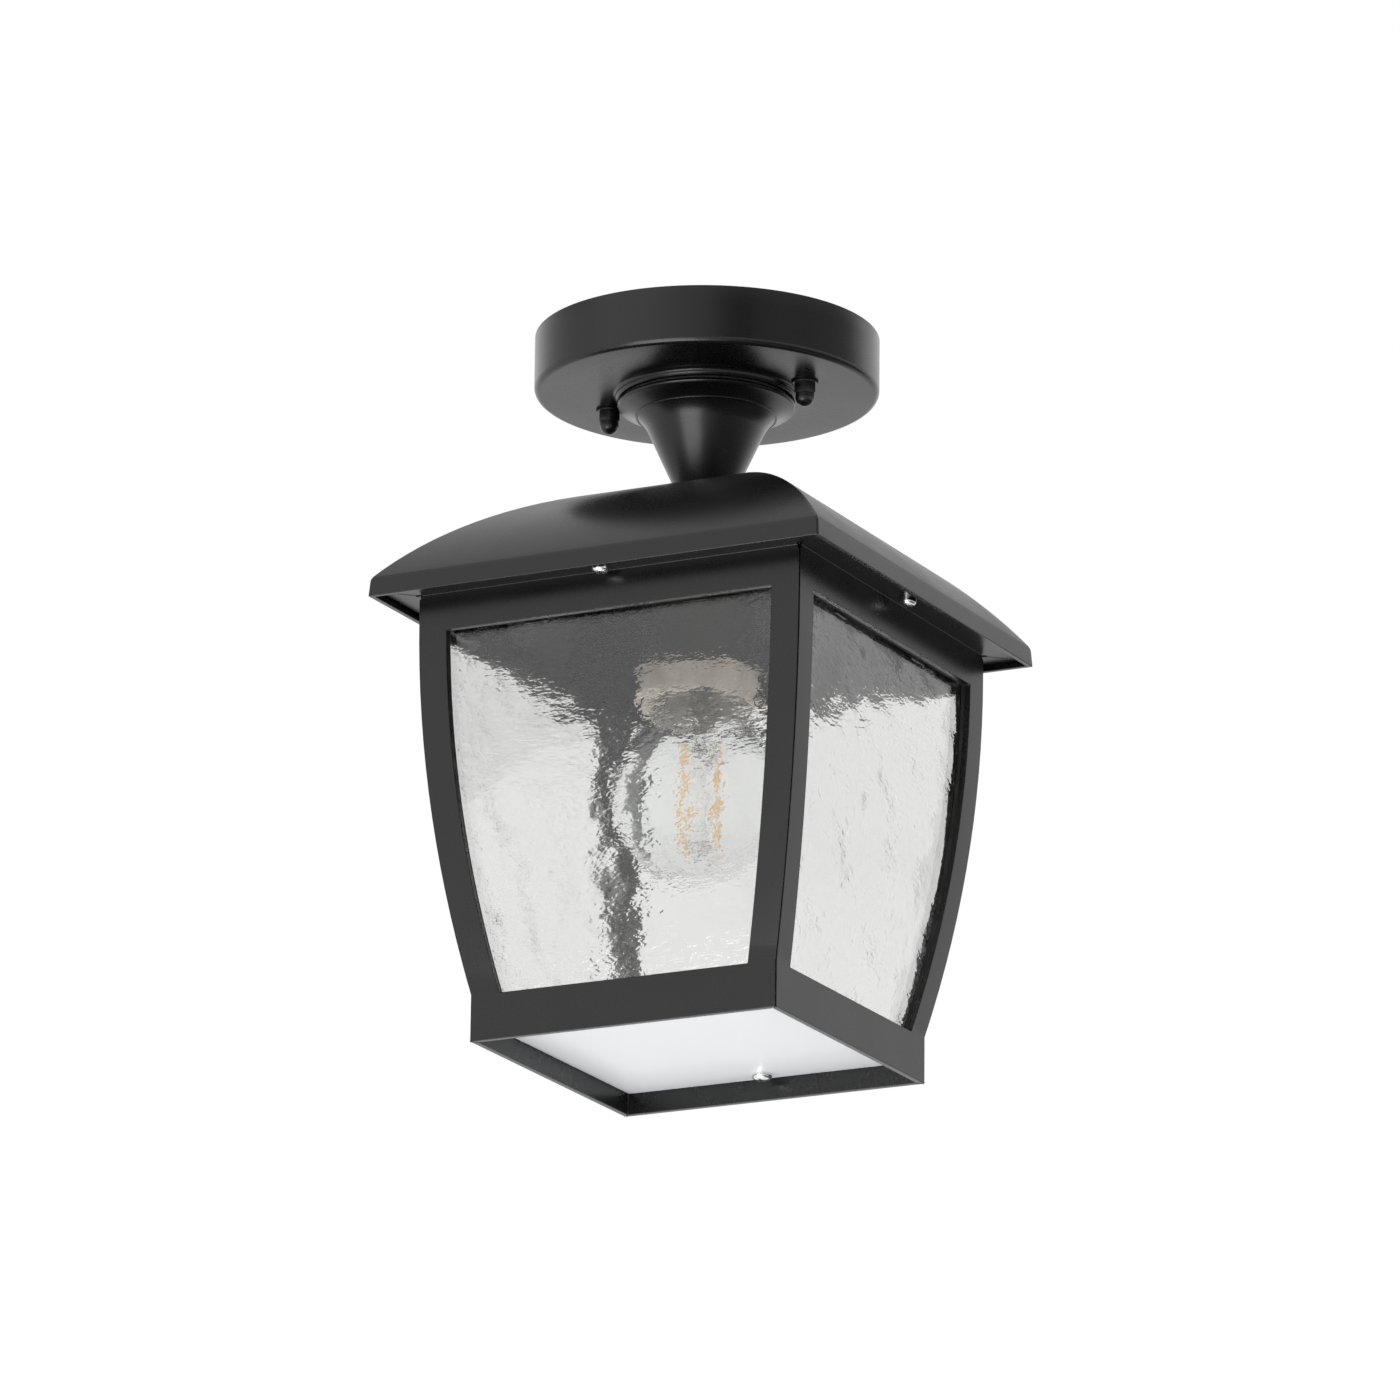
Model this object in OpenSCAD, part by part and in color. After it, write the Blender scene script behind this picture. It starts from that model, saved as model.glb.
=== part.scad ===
// Outdoor ceiling light: a square lantern under a round ceiling canopy.
// Origin at the middle of the ceiling plane, +Z up, so the light hangs into -Z.
// The front frame faces -Y and the right frame faces +X.

/* [Canopy] */
// Diameter of the ceiling canopy
canopy_d = 120; // [110:1:150]
// Height of the canopy from the ceiling to its floor
canopy_h = 20.5; // [19:0.5:30]
// Wall of the canopy
canopy_wall = 1.5; // [1:0.1:2]
// Outer radius of the canopy's lower edge
canopy_edge_r = 2.2; // [2.1:0.1:4]
// Diameter of the raised seat for the stem
seat_d = 66; // [63:0.5:66]
// Height of the raised seat
seat_h = 1.9; // [1:0.1:2.5]

/* [Mounting bar] */
// Length of the mounting bar past each stud
bar_end = 8; // [6:0.5:12]
// Width of the mounting bar
bar_w = 16; // [14:1:20]
// Thickness of the mounting bar
bar_t = 1.8; // [1.2:0.1:2.5]
// Half length of the bar's raised middle
bar_flat = 29; // [28.5:0.5:30]
// Length of each sloped joggle
joggle_l = 4; // [3:0.5:4]
// Gap between the raised seat and a cap nut's washer
nut_gap = 0.3; // [0.2:0.1:2]
// Distance between the centres of the two ceiling slots
slot_spacing = 41; // [38:0.5:42]
// Length of a ceiling slot, end to end
slot_l = 13; // [8:0.5:14]
// Width of a ceiling slot
slot_w = 4.5; // [4:0.1:5.5]
// Radius of the cable hole in the bar
cable_hole_r = 5.5; // [4:0.5:6]
// Width of the tab that carries the terminal block
tab_w = 20; // [16:1:24]
// Distance from the bar's edge to the tab's end
tab_l = 30; // [28:1:36]

/* [Terminal block] */
// Distance between the block's poles
pole_pitch = 9; // [8:0.5:10]
// Number of poles
pole_n = 3; // [2:1:3]
// Depth of the block along the wires
block_d = 16; // [14:1:18]
// Height of the block
block_h = 11; // [9:0.5:12]
// Gap between the bar and the block
block_gap = 3; // [2:0.5:4]

/* [Studs and cap nuts] */
// Radius of a stud's shank
stud_r = 2; // [1.5:0.1:2.5]
// Height of a stud's head
stud_head_h = 2.4; // [2:0.1:3]
// Radius of a stud's head
stud_head_r = 3.8; // [3:0.1:4]
// Width of the hexagon across its flats
hex_af = 7; // [6:0.1:8]
// Height of a lock nut
lock_nut_h = 3.2; // [2:0.1:4]
// Height of a cap nut's hexagon
cap_hex_h = 3.5; // [3:0.1:5]
// Radius of a cap nut's dome
dome_r = 3.25; // [2.9:0.05:3.4]
// Straight length between a cap nut's hexagon and its dome
dome_neck = 1.3; // [0.5:0.1:2]
// Radius of a cap nut washer
washer_r = 4.7; // [4.2:0.1:5.5]
// Thickness of a cap nut washer
washer_t = 0.9; // [0.6:0.1:1.5]

/* [Stem] */
// Diameter of the stem's flange
lip_d = 62; // [58:0.5:64]
// Thickness of the flange's edge
lip_t = 1.6; // [1.2:0.1:2.5]
// Height of the stem from flange to foot
stem_h = 31.1; // [29:0.1:34]
// Radius of the stem's foot
foot_r = 11; // [10:0.1:13]
// Radius of the hollow flare below the flange
flare_r = 15; // [12:0.5:18]
// How far the flare's centre lies outside the flange
flare_out = 2.9; // [2:0.1:4]
// Radius of the small bead's section under the flange
bead_r = 0.4; // [0.2:0.05:0.6]
// Distance of the bead from the axis
bead_x = 25.4; // [24:0.1:28]
// Wall of the stem
stem_wall = 3; // [2.5:0.1:3.5]
// Length of the stem's bore above the foot
foot_bore_l = 8; // [5:0.5:10]
// Thickness of the gasket on the flange
gasket_t = 0.8; // [0.6:0.1:2]
// How far the flange stands out past its gasket
gasket_inset = 1.5; // [1:0.1:2]
// Thickness of the gasket under the foot
foot_gasket_t = 1; // [0.8:0.1:2]

/* [Threaded tube] */
// Radius of the threaded tube
tube_r = 5; // [4.5:0.1:5.5]
// Radius of the wire way in the tube
tube_bore_r = 3.4; // [2.5:0.1:3.6]
// Width of the tube's nuts across their flats
tube_nut_af = 14; // [13:0.5:16]
// Height of the tube's nuts
tube_nut_h = 3; // [2:0.1:4]
// Thickness of the tube's washers
tube_washer_t = 1; // [0.8:0.1:1.5]
// Radius of the tube's washers
tube_washer_r = 9; // [8.5:0.1:10]
// How far the tube stands out past its nuts
tube_out = 1.5; // [1:0.1:3]

/* [Roof] */
// Width of the roof at the top of its fascia
roof_w = 170.2; // [166:0.2:180]
// How much wider each side of the fascia is at its bottom
fascia_flare = 0.5; // [0.2:0.1:1]
// Height of the fascia
fascia_h = 6.5; // [6:0.1:10]
// Radius of the roof's arches
arch_r = 116; // [112:1:130]
// How far each arch's centre lies past the axis
arch_shift = 6; // [4:0.5:8]
// Wall of the roof
roof_wall = 2.6; // [2:0.1:3]
// Wall of the fascia's rim
rim_wall = 2; // [1.5:0.1:2.5]
// Radius of the boss under the stem
boss_r = 14; // [13:0.5:16]
// Thickness of the boss under the stem
boss_t = 6; // [5:0.5:8]
// How far the boss stands above the arches
boss_rise = 0.3; // [0.1:0.1:1]
// Radius of the four screw bosses
screw_boss_r = 3.4; // [3:0.1:3.8]

/* [Side frames] */
// How far the top of the fascia stands out past the frames
eave_out = 12.5; // [11.6:0.1:16]
// Distance of the frames' flanges above the roof's lower edge
soffit_in = 2; // [1.5:0.1:3]
// Thickness of the frames' top flanges
flange_t = 2.2; // [1.8:0.1:3]
// Straight height below the flange
straight_h = 8; // [6:0.5:10]
// Height of the bowed part
bow_h = 131; // [110:1:140]
// Radius of the bow
bow_r = 587; // [570:1:650]
// Height of the lower band
band_h = 16.4; // [16:0.2:22]
// Thickness of the frames
frame_t = 2.2; // [1.8:0.1:2.5]
// Gap at each mitred corner
seam = 0.3; // [0.2:0.05:0.5]
// Gap between the flanges and the roof's rim
rim_gap = 1; // [0.5:0.1:1.2]
// Width of the frames beside the window
stile_w = 10.8; // [10.4:0.1:14]
// Distance from the flange to the window
rail_h = 13.2; // [13:0.1:16]
// Radius of each frame's lower corners
corner_r = 1.2; // [0.6:0.1:2]

/* [Glass] */
// Thickness of the glass
glass_t = 3; // [2.6:0.1:3.1]
// Thickness of the gasket between frame and glass
seal_t = 1.5; // [1.2:0.1:1.6]
// How far the glass reaches past the window
glass_lap = 3; // [2.5:0.1:3.2]
// How far the seal stays back from the window's edge
seal_back = 0.3; // [0.2:0.05:0.6]
// Distance of a clip's screw from the middle
clip_x = 30; // [20:1:36]
// Width of a clip
clip_w = 9; // [7:0.5:11]
// Thickness of a clip
clip_t = 0.8; // [0.6:0.1:1]
// Radius of a clip boss
clip_boss_r = 2.8; // [2.5:0.1:3]
// Radius of a clip screw's shank
clip_screw_r = 1.2; // [1:0.1:1.4]
// Radius of a clip screw's head
clip_head_r = 2.2; // [1.9:0.1:2.6]

/* [Bottom] */
// Thickness of the opal sheet
opal_t = 2.5; // [2:0.1:3]
// Depth from the band's lower edge to the opal sheet
opal_in = 7.4; // [7:0.1:8]
// Gap round the opal sheet
opal_gap = 0.3; // [0.2:0.05:0.5]
// Radius of the opal sheet's corners
opal_corner_r = 1.5; // [1:0.1:3]
// Distance of an opal screw from the band's inner wall
opal_screw_in = 7.2; // [6.8:0.1:8]
// Radius of an opal screw's head
opal_head_r = 3.4; // [3:0.1:3.8]
// Length of an opal screw's shank
opal_screw_l = 6; // [5:0.1:6]
// Thickness of the ledge above the opal sheet
ledge_t = 1.8; // [1.5:0.1:2]
// Width of the ledge
ledge_w = 7.3; // [7.2:0.1:8]
// Gap between a corner plate and the rib that carries the glass
rib_gap = 4.5; // [3:0.1:10]
// Thickness of a corner plate
plate_t = 1.2; // [1:0.1:1.3]
// Length of a corner plate's arm
plate_l = 16; // [15:0.5:17]

/* [Screws] */
// Radius of an M3 shank
m3_r = 1.5; // [1.3:0.05:1.6]
// Clearance between a shank and its hole
hole_gap = 0.1; // [0.05:0.01:0.15]
// Radius of a pan head
head_r = 2.8; // [2.5:0.1:3]
// Height of a pan head
head_h = 2.3; // [1.5:0.1:2.6]
// Distance of a soffit screw from the frame's face
soffit_screw_out = 5.4; // [4.6:0.1:6]
// Length of a soffit screw's shank
soffit_screw_l = 8; // [6:0.5:9]

/* [Lampholder] */
// Height of the strap
strap_h = 22; // [18:0.5:26]
// Width of the strap
strap_w = 12; // [10:0.5:16]
// Thickness of the strap
strap_t = 1.5; // [1.2:0.1:2]
// Half width of the strap
strap_x = 15.5; // [14:0.5:17]
// Distance of a holder screw from the axis
holder_screw_x = 9; // [8.5:0.1:10]
// Height of the lampholder
holder_h = 50.7; // [48:0.1:53]
// Radius of the lampholder's upper part
holder_r = 18; // [17:0.5:20]
// Radius of the lampholder's skirt
skirt_r = 21; // [20.5:0.5:23]
// Height of the skirt
skirt_h = 19; // [17:0.5:22]
// Wall of the skirt
skirt_wall = 2.6; // [2:0.1:3]
// Thickness of the lampholder's base
holder_base_t = 4.7; // [4:0.1:6]
// Length of the screw shell
shell_l = 25; // [22:0.5:26]
// Wall of the screw shell
shell_t = 0.5; // [0.3:0.1:0.8]
// Clearance round the bulb's cap
cap_gap = 0.4; // [0.35:0.05:0.6]

/* [Bulb] */
// Radius of the bulb's screw cap
cap_r = 13.2; // [13:0.05:13.3]
// Length of the screw cap's shell
cap_l = 22; // [20:0.5:24]
// Height of the cap's insulator
insulator_h = 4; // [3:0.1:5]
// Height of the centre tip
tip_h = 1; // [0.8:0.1:1.5]
// Radius of the centre tip
tip_r = 4.5; // [4:0.1:5]
// Radius of the glass globe
globe_r = 30; // [25:0.5:32]
// Overall length of the bulb
bulb_l = 106; // [102:0.5:110]
// Radius of the glass neck
neck_r = 13.4; // [13.2:0.1:13.8]
// Radius of the hollow between neck and globe
neck_fillet = 40; // [34:1:46]
// Wall of the bulb's glass
bulb_wall = 0.9; // [0.7:0.1:1.2]
// Length of a filament
filament_l = 36; // [30:0.5:38]
// Radius of a filament
filament_r = 0.8; // [0.6:0.1:1]
// Distance of the filaments from the axis
filament_x = 7.5; // [5:0.1:8]
// Number of filaments
filament_n = 4; // [2:1:6]
// Radius of the glass rod between the filaments
rod_r = 1.8; // [1.4:0.1:2.5]
// Radius of a lead wire
lead_r = 0.35; // [0.3:0.05:0.5]
// Turn of the bulb in its holder
bulb_turn = -18; // [-45:1:45]

/* [Hidden] */
$fn = 64;
big_fn = 720;
over = 1;
touch = 0.05;
face_gap = 0.2;
body_gap = 0.3;

// Studs stand clear of the seat, and the bar reaches past them
stud_spacing = seat_d + 2 * (washer_r + nut_gap);
bar_l = stud_spacing + 2 * bar_end;

// Heights of the clamped stack, from the ceiling down
floor_z = -canopy_h;
seat_z = floor_z - seat_h;
lip_z = seat_z - gasket_t;
foot_z = lip_z - stem_h;
boss_z = foot_z - foot_gasket_t;
strap_z = boss_z - boss_t;
holder_z = strap_z - strap_h;
rim_z = holder_z - holder_h;
tube_hole_r = tube_r + hole_gap;
bore_end = 0.5;

// Heights of the roof
apex_z = boss_z - boss_rise;
arch_z = apex_z - sqrt(arch_r * arch_r - arch_shift * arch_shift);
roof_x = roof_w / 2;
eave_z = arch_z + sqrt(arch_r * arch_r - pow(roof_x + arch_shift, 2));
roof_z = eave_z - fascia_h;
rim_x = roof_x + fascia_flare - rim_wall;

// Heights and places of the side frames; bow_end is where a face at some depth meets the lower band
function bow_end(depth) = bow_x + sqrt(pow(bow_r - depth, 2) - bow_h * bow_h);
soffit_z = roof_z + soffit_in;
flange_z = soffit_z + flange_t;
bow_z = soffit_z - straight_h;
kink_z = bow_z - bow_h;
band_z = kink_z - band_h;
body_x = roof_x - eave_out;
bow_x = body_x - bow_r;
band_x = bow_end(0);
flange_x = rim_x - rim_gap;
ledge_in = 1.6;
roof_ledge_x = flange_x - ledge_in;
window_top = soffit_z - rail_h;
window_low = kink_z - 0.3;
screw_y = body_x + soffit_screw_out;

// Glass and seals, as depths behind the frame's face
seal_in = frame_t + touch;
glass_in = seal_in + seal_t + touch;
glass_back = glass_in + glass_t;
clip_in = glass_back + 0.1;
glass_bottom = kink_z - glass_lap;
glass_top = window_top + glass_lap;
clip_head_h = 1.5;
clip_z = glass_top + clip_boss_r + 1.9;
clip_bottom = window_top + face_gap;

// Bottom panel, its ledge and its screws
opal_z = band_z + opal_in;
ledge_z = opal_z + opal_t + face_gap;
ledge_top = ledge_z + ledge_t;
inner_x = bow_end(frame_t);
ledge_x = inner_x - ledge_w;
rib_top = glass_bottom - face_gap;
opal_screw_y = inner_x - opal_screw_in;
lip_w = 1.4;
lug_r = 3.6;

// Bulb and lampholder levels
cavity_z = holder_z - holder_base_t;
contact_t = 0.4;
contact_drop = 1.3;
contact_w = 5;
holder_head_h = 1.8;
wire_r = 1.4;
wire_hole_y = 9;
tip_z = cavity_z - contact_t - contact_drop - body_gap;
insulator_z = tip_z - tip_h;
cap_z = insulator_z - insulator_h;
cap_end_z = cap_z - cap_l;
globe_z = tip_z - bulb_l + globe_r;
shell_r = cap_r + cap_gap;
holder_bore_r = shell_r + shell_t + touch;
shell_z = cavity_z - 1.5;
neck_dx = neck_r + neck_fillet;
neck_dz = sqrt(pow(globe_r + neck_fillet, 2) - neck_dx * neck_dx);
cap_in_r = cap_r - 0.5;
cup_h = 1.5;
collar_h = 4;
collar_r = cap_in_r - touch;
filament_z = globe_z + filament_l / 2;
lead_in = 2;
tube_stem_r = 3.2;

black = [0.16, 0.16, 0.17];
steel = [0.78, 0.78, 0.8];
brass = [0.8, 0.66, 0.35];

// Shared shapes

module ring(r_out, r_in, h) {
  difference() {
    cylinder(h = h, r = r_out);
    translate([0, 0, -over]) cylinder(h = h + 2 * over, r = r_in);
  }
}

module hexagon(af, h) {
  cylinder(h = h, r = af / sqrt(3), $fn = 6);
}

// Pan head with its shank, head down, seat at z = 0
module pan_screw(shank_r, shank_l, r, h) {
  cylinder(h = shank_l, r = shank_r);
  translate([0, 0, -h]) rotate_extrude() pan_profile(r, h);
}

module pan_profile(r, h) {
  edge = h * 0.45;
  square_from(0, 0, r - edge, h);
  square_from(0, edge, r, h);
  intersection() {
    translate([r - edge, edge]) circle(edge);
    square_from(0, 0, r, h);
  }
}

// Rectangle given by two corners
module square_from(x0, y0, x1, y1) {
  translate([x0, y0]) square([x1 - x0, y1 - y0]);
}

// One of the four sides: 0 front, 1 right, 2 back, 3 left
module on_side(i) {
  rotate([0, 0, 90 * i]) children();
}

// Sweeps a profile, drawn as distance outwards and height, along the front frame
module along_side(length) {
  rotate([90, 0, -90]) linear_extrude(height = length, center = true) children();
}

// Pushes an outline, drawn as x and height, through the front frame
module through_side() {
  rotate([90, 0, 0]) linear_extrude(height = roof_w) children();
}

// Canopy and its fastening

module cup_profile(d, depth, edge) {
  x = d / 2;
  square_from(0, -depth + edge, x, 0);
  square_from(0, -depth, x - edge, 0);
  intersection() {
    translate([x - edge, -depth + edge]) circle(edge);
    square_from(0, -depth, x, 0);
  }
}

module canopy() {
  seat_edge = seat_h * 0.6;
  color(black) difference() {
    rotate_extrude($fn = 180) difference() {
      union() {
        cup_profile(canopy_d, canopy_h, canopy_edge_r);
        cup_profile(seat_d, canopy_h + seat_h, seat_edge);
      }
      union() {
        translate([0, canopy_wall]) cup_profile(
          canopy_d - 2 * canopy_wall, canopy_h, canopy_edge_r - canopy_wall);
        square_from(0, seat_z + canopy_wall, seat_d / 2 - canopy_wall, canopy_wall);
      }
    }
    translate([0, 0, seat_z - over]) cylinder(h = canopy_h, r = tube_hole_r);
    for (s = [-1, 1]) translate([s * stud_spacing / 2, 0, floor_z - over])
      cylinder(h = canopy_wall + 2 * over, r = stud_r + hole_gap);
  }
}

bar_drop = stud_head_h + 0.4;

function bar_top(side) = [
  [side * bar_l / 2, -bar_drop],
  [side * (bar_flat + joggle_l), -bar_drop],
  [side * bar_flat, 0]
];

function reversed(list) = [for (i = [len(list) - 1 : -1 : 0]) list[i]];

module mounting_bar() {
  upper = concat(bar_top(-1), reversed(bar_top(1)));
  lower = [for (p = reversed(upper)) p - [0, bar_t]];
  color(steel) difference() {
    union() {
      rotate([90, 0, 0]) linear_extrude(height = bar_w, center = true) polygon(concat(upper, lower));
      translate([-tab_w / 2, 0, -bar_t]) cube([tab_w, bar_w / 2 + tab_l, bar_t]);
    }
    for (s = [-1, 1]) {
      translate([s * stud_spacing / 2, 0, -bar_drop - bar_t - over])
        cylinder(h = bar_t + 2 * over, r = stud_r + hole_gap);
      translate([s * slot_spacing / 2, 0, -bar_t - over]) slot(slot_l, slot_w, bar_t + 2 * over);
      translate([s * pole_pitch / 2, block_y, -bar_t - over])
        cylinder(h = bar_t + 2 * over, r = small_hole_r);
    }
    translate([0, 0, -bar_t - over]) cylinder(h = bar_t + 2 * over, r = cable_hole_r);
    translate([0, earth_y, -bar_t - over]) cylinder(h = bar_t + 2 * over, r = stud_r + hole_gap);
  }
}

module slot(length, width, h) {
  run = length - width;
  translate([-run / 2, -width / 2, 0]) cube([run, width, h]);
  for (s = [-1, 1]) translate([s * run / 2, 0, 0]) cylinder(h = h, r = width / 2);
}

block_y = bar_w / 2 + block_gap + block_d / 2;
earth_y = bar_w / 2 + tab_l - 4.5;

module studs() {
  shank = -bar_drop - (floor_z - washer_t - cap_hex_h - 1);
  color(steel) for (s = [-1, 1]) translate([s * stud_spacing / 2, 0, -bar_drop]) {
    translate([0, 0, -shank]) cylinder(h = shank, r = stud_r);
    rotate_extrude() translate([0, stud_head_h]) mirror([0, 1]) pan_profile(stud_head_r, stud_head_h);
  }
}

module stud_nuts() {
  color(steel) for (s = [-1, 1])
    translate([s * stud_spacing / 2, 0, -bar_drop - bar_t - lock_nut_h]) difference() {
      hexagon(hex_af, lock_nut_h);
      translate([0, 0, -over]) cylinder(h = lock_nut_h + 2 * over, r = stud_r + hole_gap);
    }
}

module cap_nut_washers() {
  color(black) for (s = [-1, 1]) translate([s * stud_spacing / 2, 0, floor_z - washer_t])
    ring(washer_r, stud_r + hole_gap, washer_t);
}

module cap_nuts() {
  neck = cap_hex_h + dome_neck;
  color(black) for (s = [-1, 1]) translate([s * stud_spacing / 2, 0, floor_z - washer_t]) difference() {
    union() {
      translate([0, 0, -cap_hex_h]) hexagon(hex_af, cap_hex_h);
      translate([0, 0, -neck]) cylinder(h = neck, r = dome_r);
      translate([0, 0, -neck]) sphere(dome_r);
    }
    translate([0, 0, -neck]) cylinder(h = neck + over, r = stud_r + hole_gap);
  }
}

// Terminal block on the bar's tab

function pole_x(i) = (i - (pole_n - 1) / 2) * pole_pitch;
block_w = pole_n * pole_pitch;
block_z = -bar_t - block_h;
insert_z = block_z + block_h * 0.5;
insert_r = 2.3;
insert_in = 1;
screw_dy = 3.6;
small_r = 1.2;
small_head_r = 1.7;
small_head_h = 1.2;
small_hole_r = small_r + hole_gap;
sunk = 1;

module terminal_block() {
  color([0.93, 0.92, 0.88]) difference() {
    translate([-block_w / 2, block_y - block_d / 2, block_z]) cube([block_w, block_d, block_h]);
    for (i = [0 : pole_n - 1]) {
      translate([pole_x(i), block_y + block_d / 2 + over, insert_z]) rotate([90, 0, 0])
        cylinder(h = block_d + 2 * over, r = insert_r + touch);
      for (s = [-1, 1]) translate([pole_x(i), block_y + s * screw_dy, block_z - over])
        cylinder(h = insert_z - block_z + over, r = small_head_r + 2 * hole_gap);
    }
    for (s = [-1, 1]) translate([s * pole_pitch / 2, block_y, block_z - over])
      cylinder(h = block_h + 2 * over, r = small_hole_r);
  }
}

module terminal_inserts() {
  color(brass) for (i = [0 : pole_n - 1]) difference() {
    translate([pole_x(i), block_y + block_d / 2 - insert_in, insert_z]) rotate([90, 0, 0])
      ring(insert_r, wire_r, block_d - 2 * insert_in);
    for (s = [-1, 1]) translate([pole_x(i), block_y + s * screw_dy, insert_z - insert_r - over])
      cylinder(h = insert_r + over, r = small_r + touch);
  }
}

module terminal_screws() {
  color(steel) for (i = [0 : pole_n - 1]) for (s = [-1, 1])
    translate([pole_x(i), block_y + s * screw_dy, block_z + sunk]) {
      cylinder(h = insert_z - block_z - sunk - wire_r / 3, r = small_r);
      cylinder(h = small_head_h, r = small_head_r);
    }
}

module terminal_block_screws() {
  color(steel) for (s = [-1, 1]) translate([s * pole_pitch / 2, block_y, block_z])
    pan_screw(small_r, block_h + bar_t, small_head_r, small_head_h);
}

module earth_screw() {
  color(brass) translate([0, earth_y, -bar_t]) pan_screw(stud_r, bar_t, stud_head_r, stud_head_h);
}

// Threaded tube, its nuts and washers

tube_top = seat_z + canopy_wall + tube_washer_t + tube_nut_h + tube_out;
tube_end = strap_z - strap_t - tube_washer_t - tube_nut_h - tube_out;

module nipple() {
  color(brass) translate([0, 0, tube_end]) ring(tube_r, tube_bore_r, tube_top - tube_end);
}

module nipple_nuts() {
  color(brass) for (z = [tube_top - tube_out - tube_nut_h, tube_end + tube_out]) translate([0, 0, z])
    difference() {
      hexagon(tube_nut_af, tube_nut_h);
      translate([0, 0, -over]) cylinder(h = tube_nut_h + 2 * over, r = tube_hole_r);
    }
}

module nipple_washers() {
  color(steel) for (z = [seat_z + canopy_wall, strap_z - strap_t - tube_washer_t]) translate([0, 0, z])
    ring(tube_washer_r, tube_hole_r, tube_washer_t);
}

// Stem: the flare's circle touches a straight cone that runs to the foot

lip_r = lip_d / 2;
lip_edge = 0.4;
flare_x = lip_r + flare_out;
flare_z = lip_z - lip_t - lip_edge - sqrt(flare_r * flare_r - flare_out * flare_out);
foot_dist = sqrt(pow(flare_x - foot_r, 2) + pow(flare_z - foot_z, 2));
cone_angle = atan2(flare_x - foot_r, flare_z - foot_z) - asin(flare_r / foot_dist);
cone_run = sqrt(foot_dist * foot_dist - flare_r * flare_r);
stem_open_r = lip_r - 6;
foot_bore_z = foot_z + foot_bore_l;

// Outline of the flare and cone, set back by some depth, from one height up to another
module flared_cone(depth, r, low, high) {
  touch_x = flare_x - (flare_r + depth) * cos(cone_angle);
  touch_z = flare_z + (flare_r + depth) * sin(cone_angle);
  below = low - over;
  difference() {
    square_from(0, low, r, high);
    translate([flare_x, flare_z]) circle(flare_r + depth, $fn = 180);
    polygon([
      [touch_x, touch_z], [flare_x, flare_z], [flare_x, below],
      [touch_x - (touch_z - below) * tan(cone_angle), below]
    ]);
  }
}

module stem() {
  color(black) rotate_extrude($fn = 120) difference() {
    union() {
      square_from(0, lip_z - lip_t, lip_r, lip_z);
      flared_cone(0, lip_r, foot_z, lip_z - lip_t / 2);
      translate([bead_x, flare_z + sqrt(flare_r * flare_r - pow(flare_x - bead_x, 2))]) circle(bead_r);
    }
    flared_cone(stem_wall, stem_open_r, foot_bore_z, lip_z + over);
    square_from(0, foot_z - over, tube_hole_r, foot_bore_z + over);
  }
}

module stem_gasket() {
  color([0.05, 0.05, 0.05]) translate([0, 0, lip_z])
    ring(lip_r - gasket_inset, stem_open_r, gasket_t);
}

module foot_gasket() {
  color([0.05, 0.05, 0.05]) translate([0, 0, boss_z]) ring(foot_r - 1, tube_hole_r, foot_gasket_t);
}

// Roof: two arched prisms crossed at right angles, hollowed the same way

module arches(r) {
  intersection_for(s = [-1, 1]) translate([s * arch_shift, arch_z]) circle(r, $fn = 360);
}

// Arches between the two fascias, whose lines run on upwards inside the arches
module roof_outline() {
  low_x = roof_x + fascia_flare;
  top_z = apex_z + over;
  top_x = roof_x - fascia_flare * (top_z - eave_z) / fascia_h;
  intersection() {
    arches(arch_r);
    polygon([[-top_x, top_z], [top_x, top_z], [low_x, roof_z], [-low_x, roof_z]]);
  }
}

module roof_hollow() {
  intersection() {
    arches(arch_r - roof_wall);
    square_from(-roof_ledge_x, flange_z - touch, roof_ledge_x, apex_z);
  }
  square_from(-rim_x, roof_z - over, rim_x, flange_z);
}

module crossed() {
  intersection_for(a = [0, 90]) rotate([90, 0, a])
    linear_extrude(height = 2 * roof_w, center = true) children();
}

module roof() {
  web_x = screw_boss_r * 0.7;
  color(black) difference() {
    union() {
      difference() {
        crossed() roof_outline();
        crossed() roof_hollow();
      }
      translate([0, 0, strap_z]) cylinder(h = boss_t, r = foot_r);
      intersection() {
        crossed() roof_outline();
        translate([0, 0, strap_z]) cylinder(h = boss_t, r = boss_r);
      }
      intersection() {
        crossed() roof_outline();
        for (i = [0 : 3]) on_side(i) {
          translate([0, -screw_y, flange_z]) cylinder(h = 2 * soffit_screw_l, r = screw_boss_r);
          translate([-web_x, -roof_ledge_x - ledge_in / 2, flange_z])
            cube([2 * web_x, roof_ledge_x + ledge_in / 2 - screw_y, 2 * soffit_screw_l]);
        }
      }
    }
    translate([0, 0, strap_z - over]) cylinder(h = boss_t + 2 * over, r = tube_hole_r);
    for (i = [0 : 3]) on_side(i) translate([0, -screw_y, soffit_z])
      cylinder(h = soffit_screw_l + bore_end, r = m3_r + hole_gap);
  }
}

module soffit_screws() {
  color(steel) for (i = [0 : 3]) on_side(i) translate([0, -screw_y, soffit_z])
    pan_screw(m3_r, soffit_screw_l, head_r, head_h);
}

// Side frames: one profile swept along the side, mitred at both corners, with a window cut through

seam_y = seam / sqrt(2);
lug_hole_r = m3_r + 0.25;
relief_r = 1.1;
corner_over = 0.1;
clip_face_y = body_x - clip_in;
lip_x0 = 8;
lip_back = bow_x + sqrt(pow(bow_r - glass_back, 2) - pow(glass_bottom - bow_z, 2)) - body_gap;

// What lies inside a face that is set back by some depth
module inside_face(depth, low, high) {
  square_from(0, bow_z, body_x - depth, high);
  intersection() {
    translate([bow_x, bow_z]) circle(bow_r - depth, $fn = big_fn);
    square_from(0, kink_z - over, body_x, bow_z);
  }
  square_from(0, low, bow_end(depth), kink_z + over);
}

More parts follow.
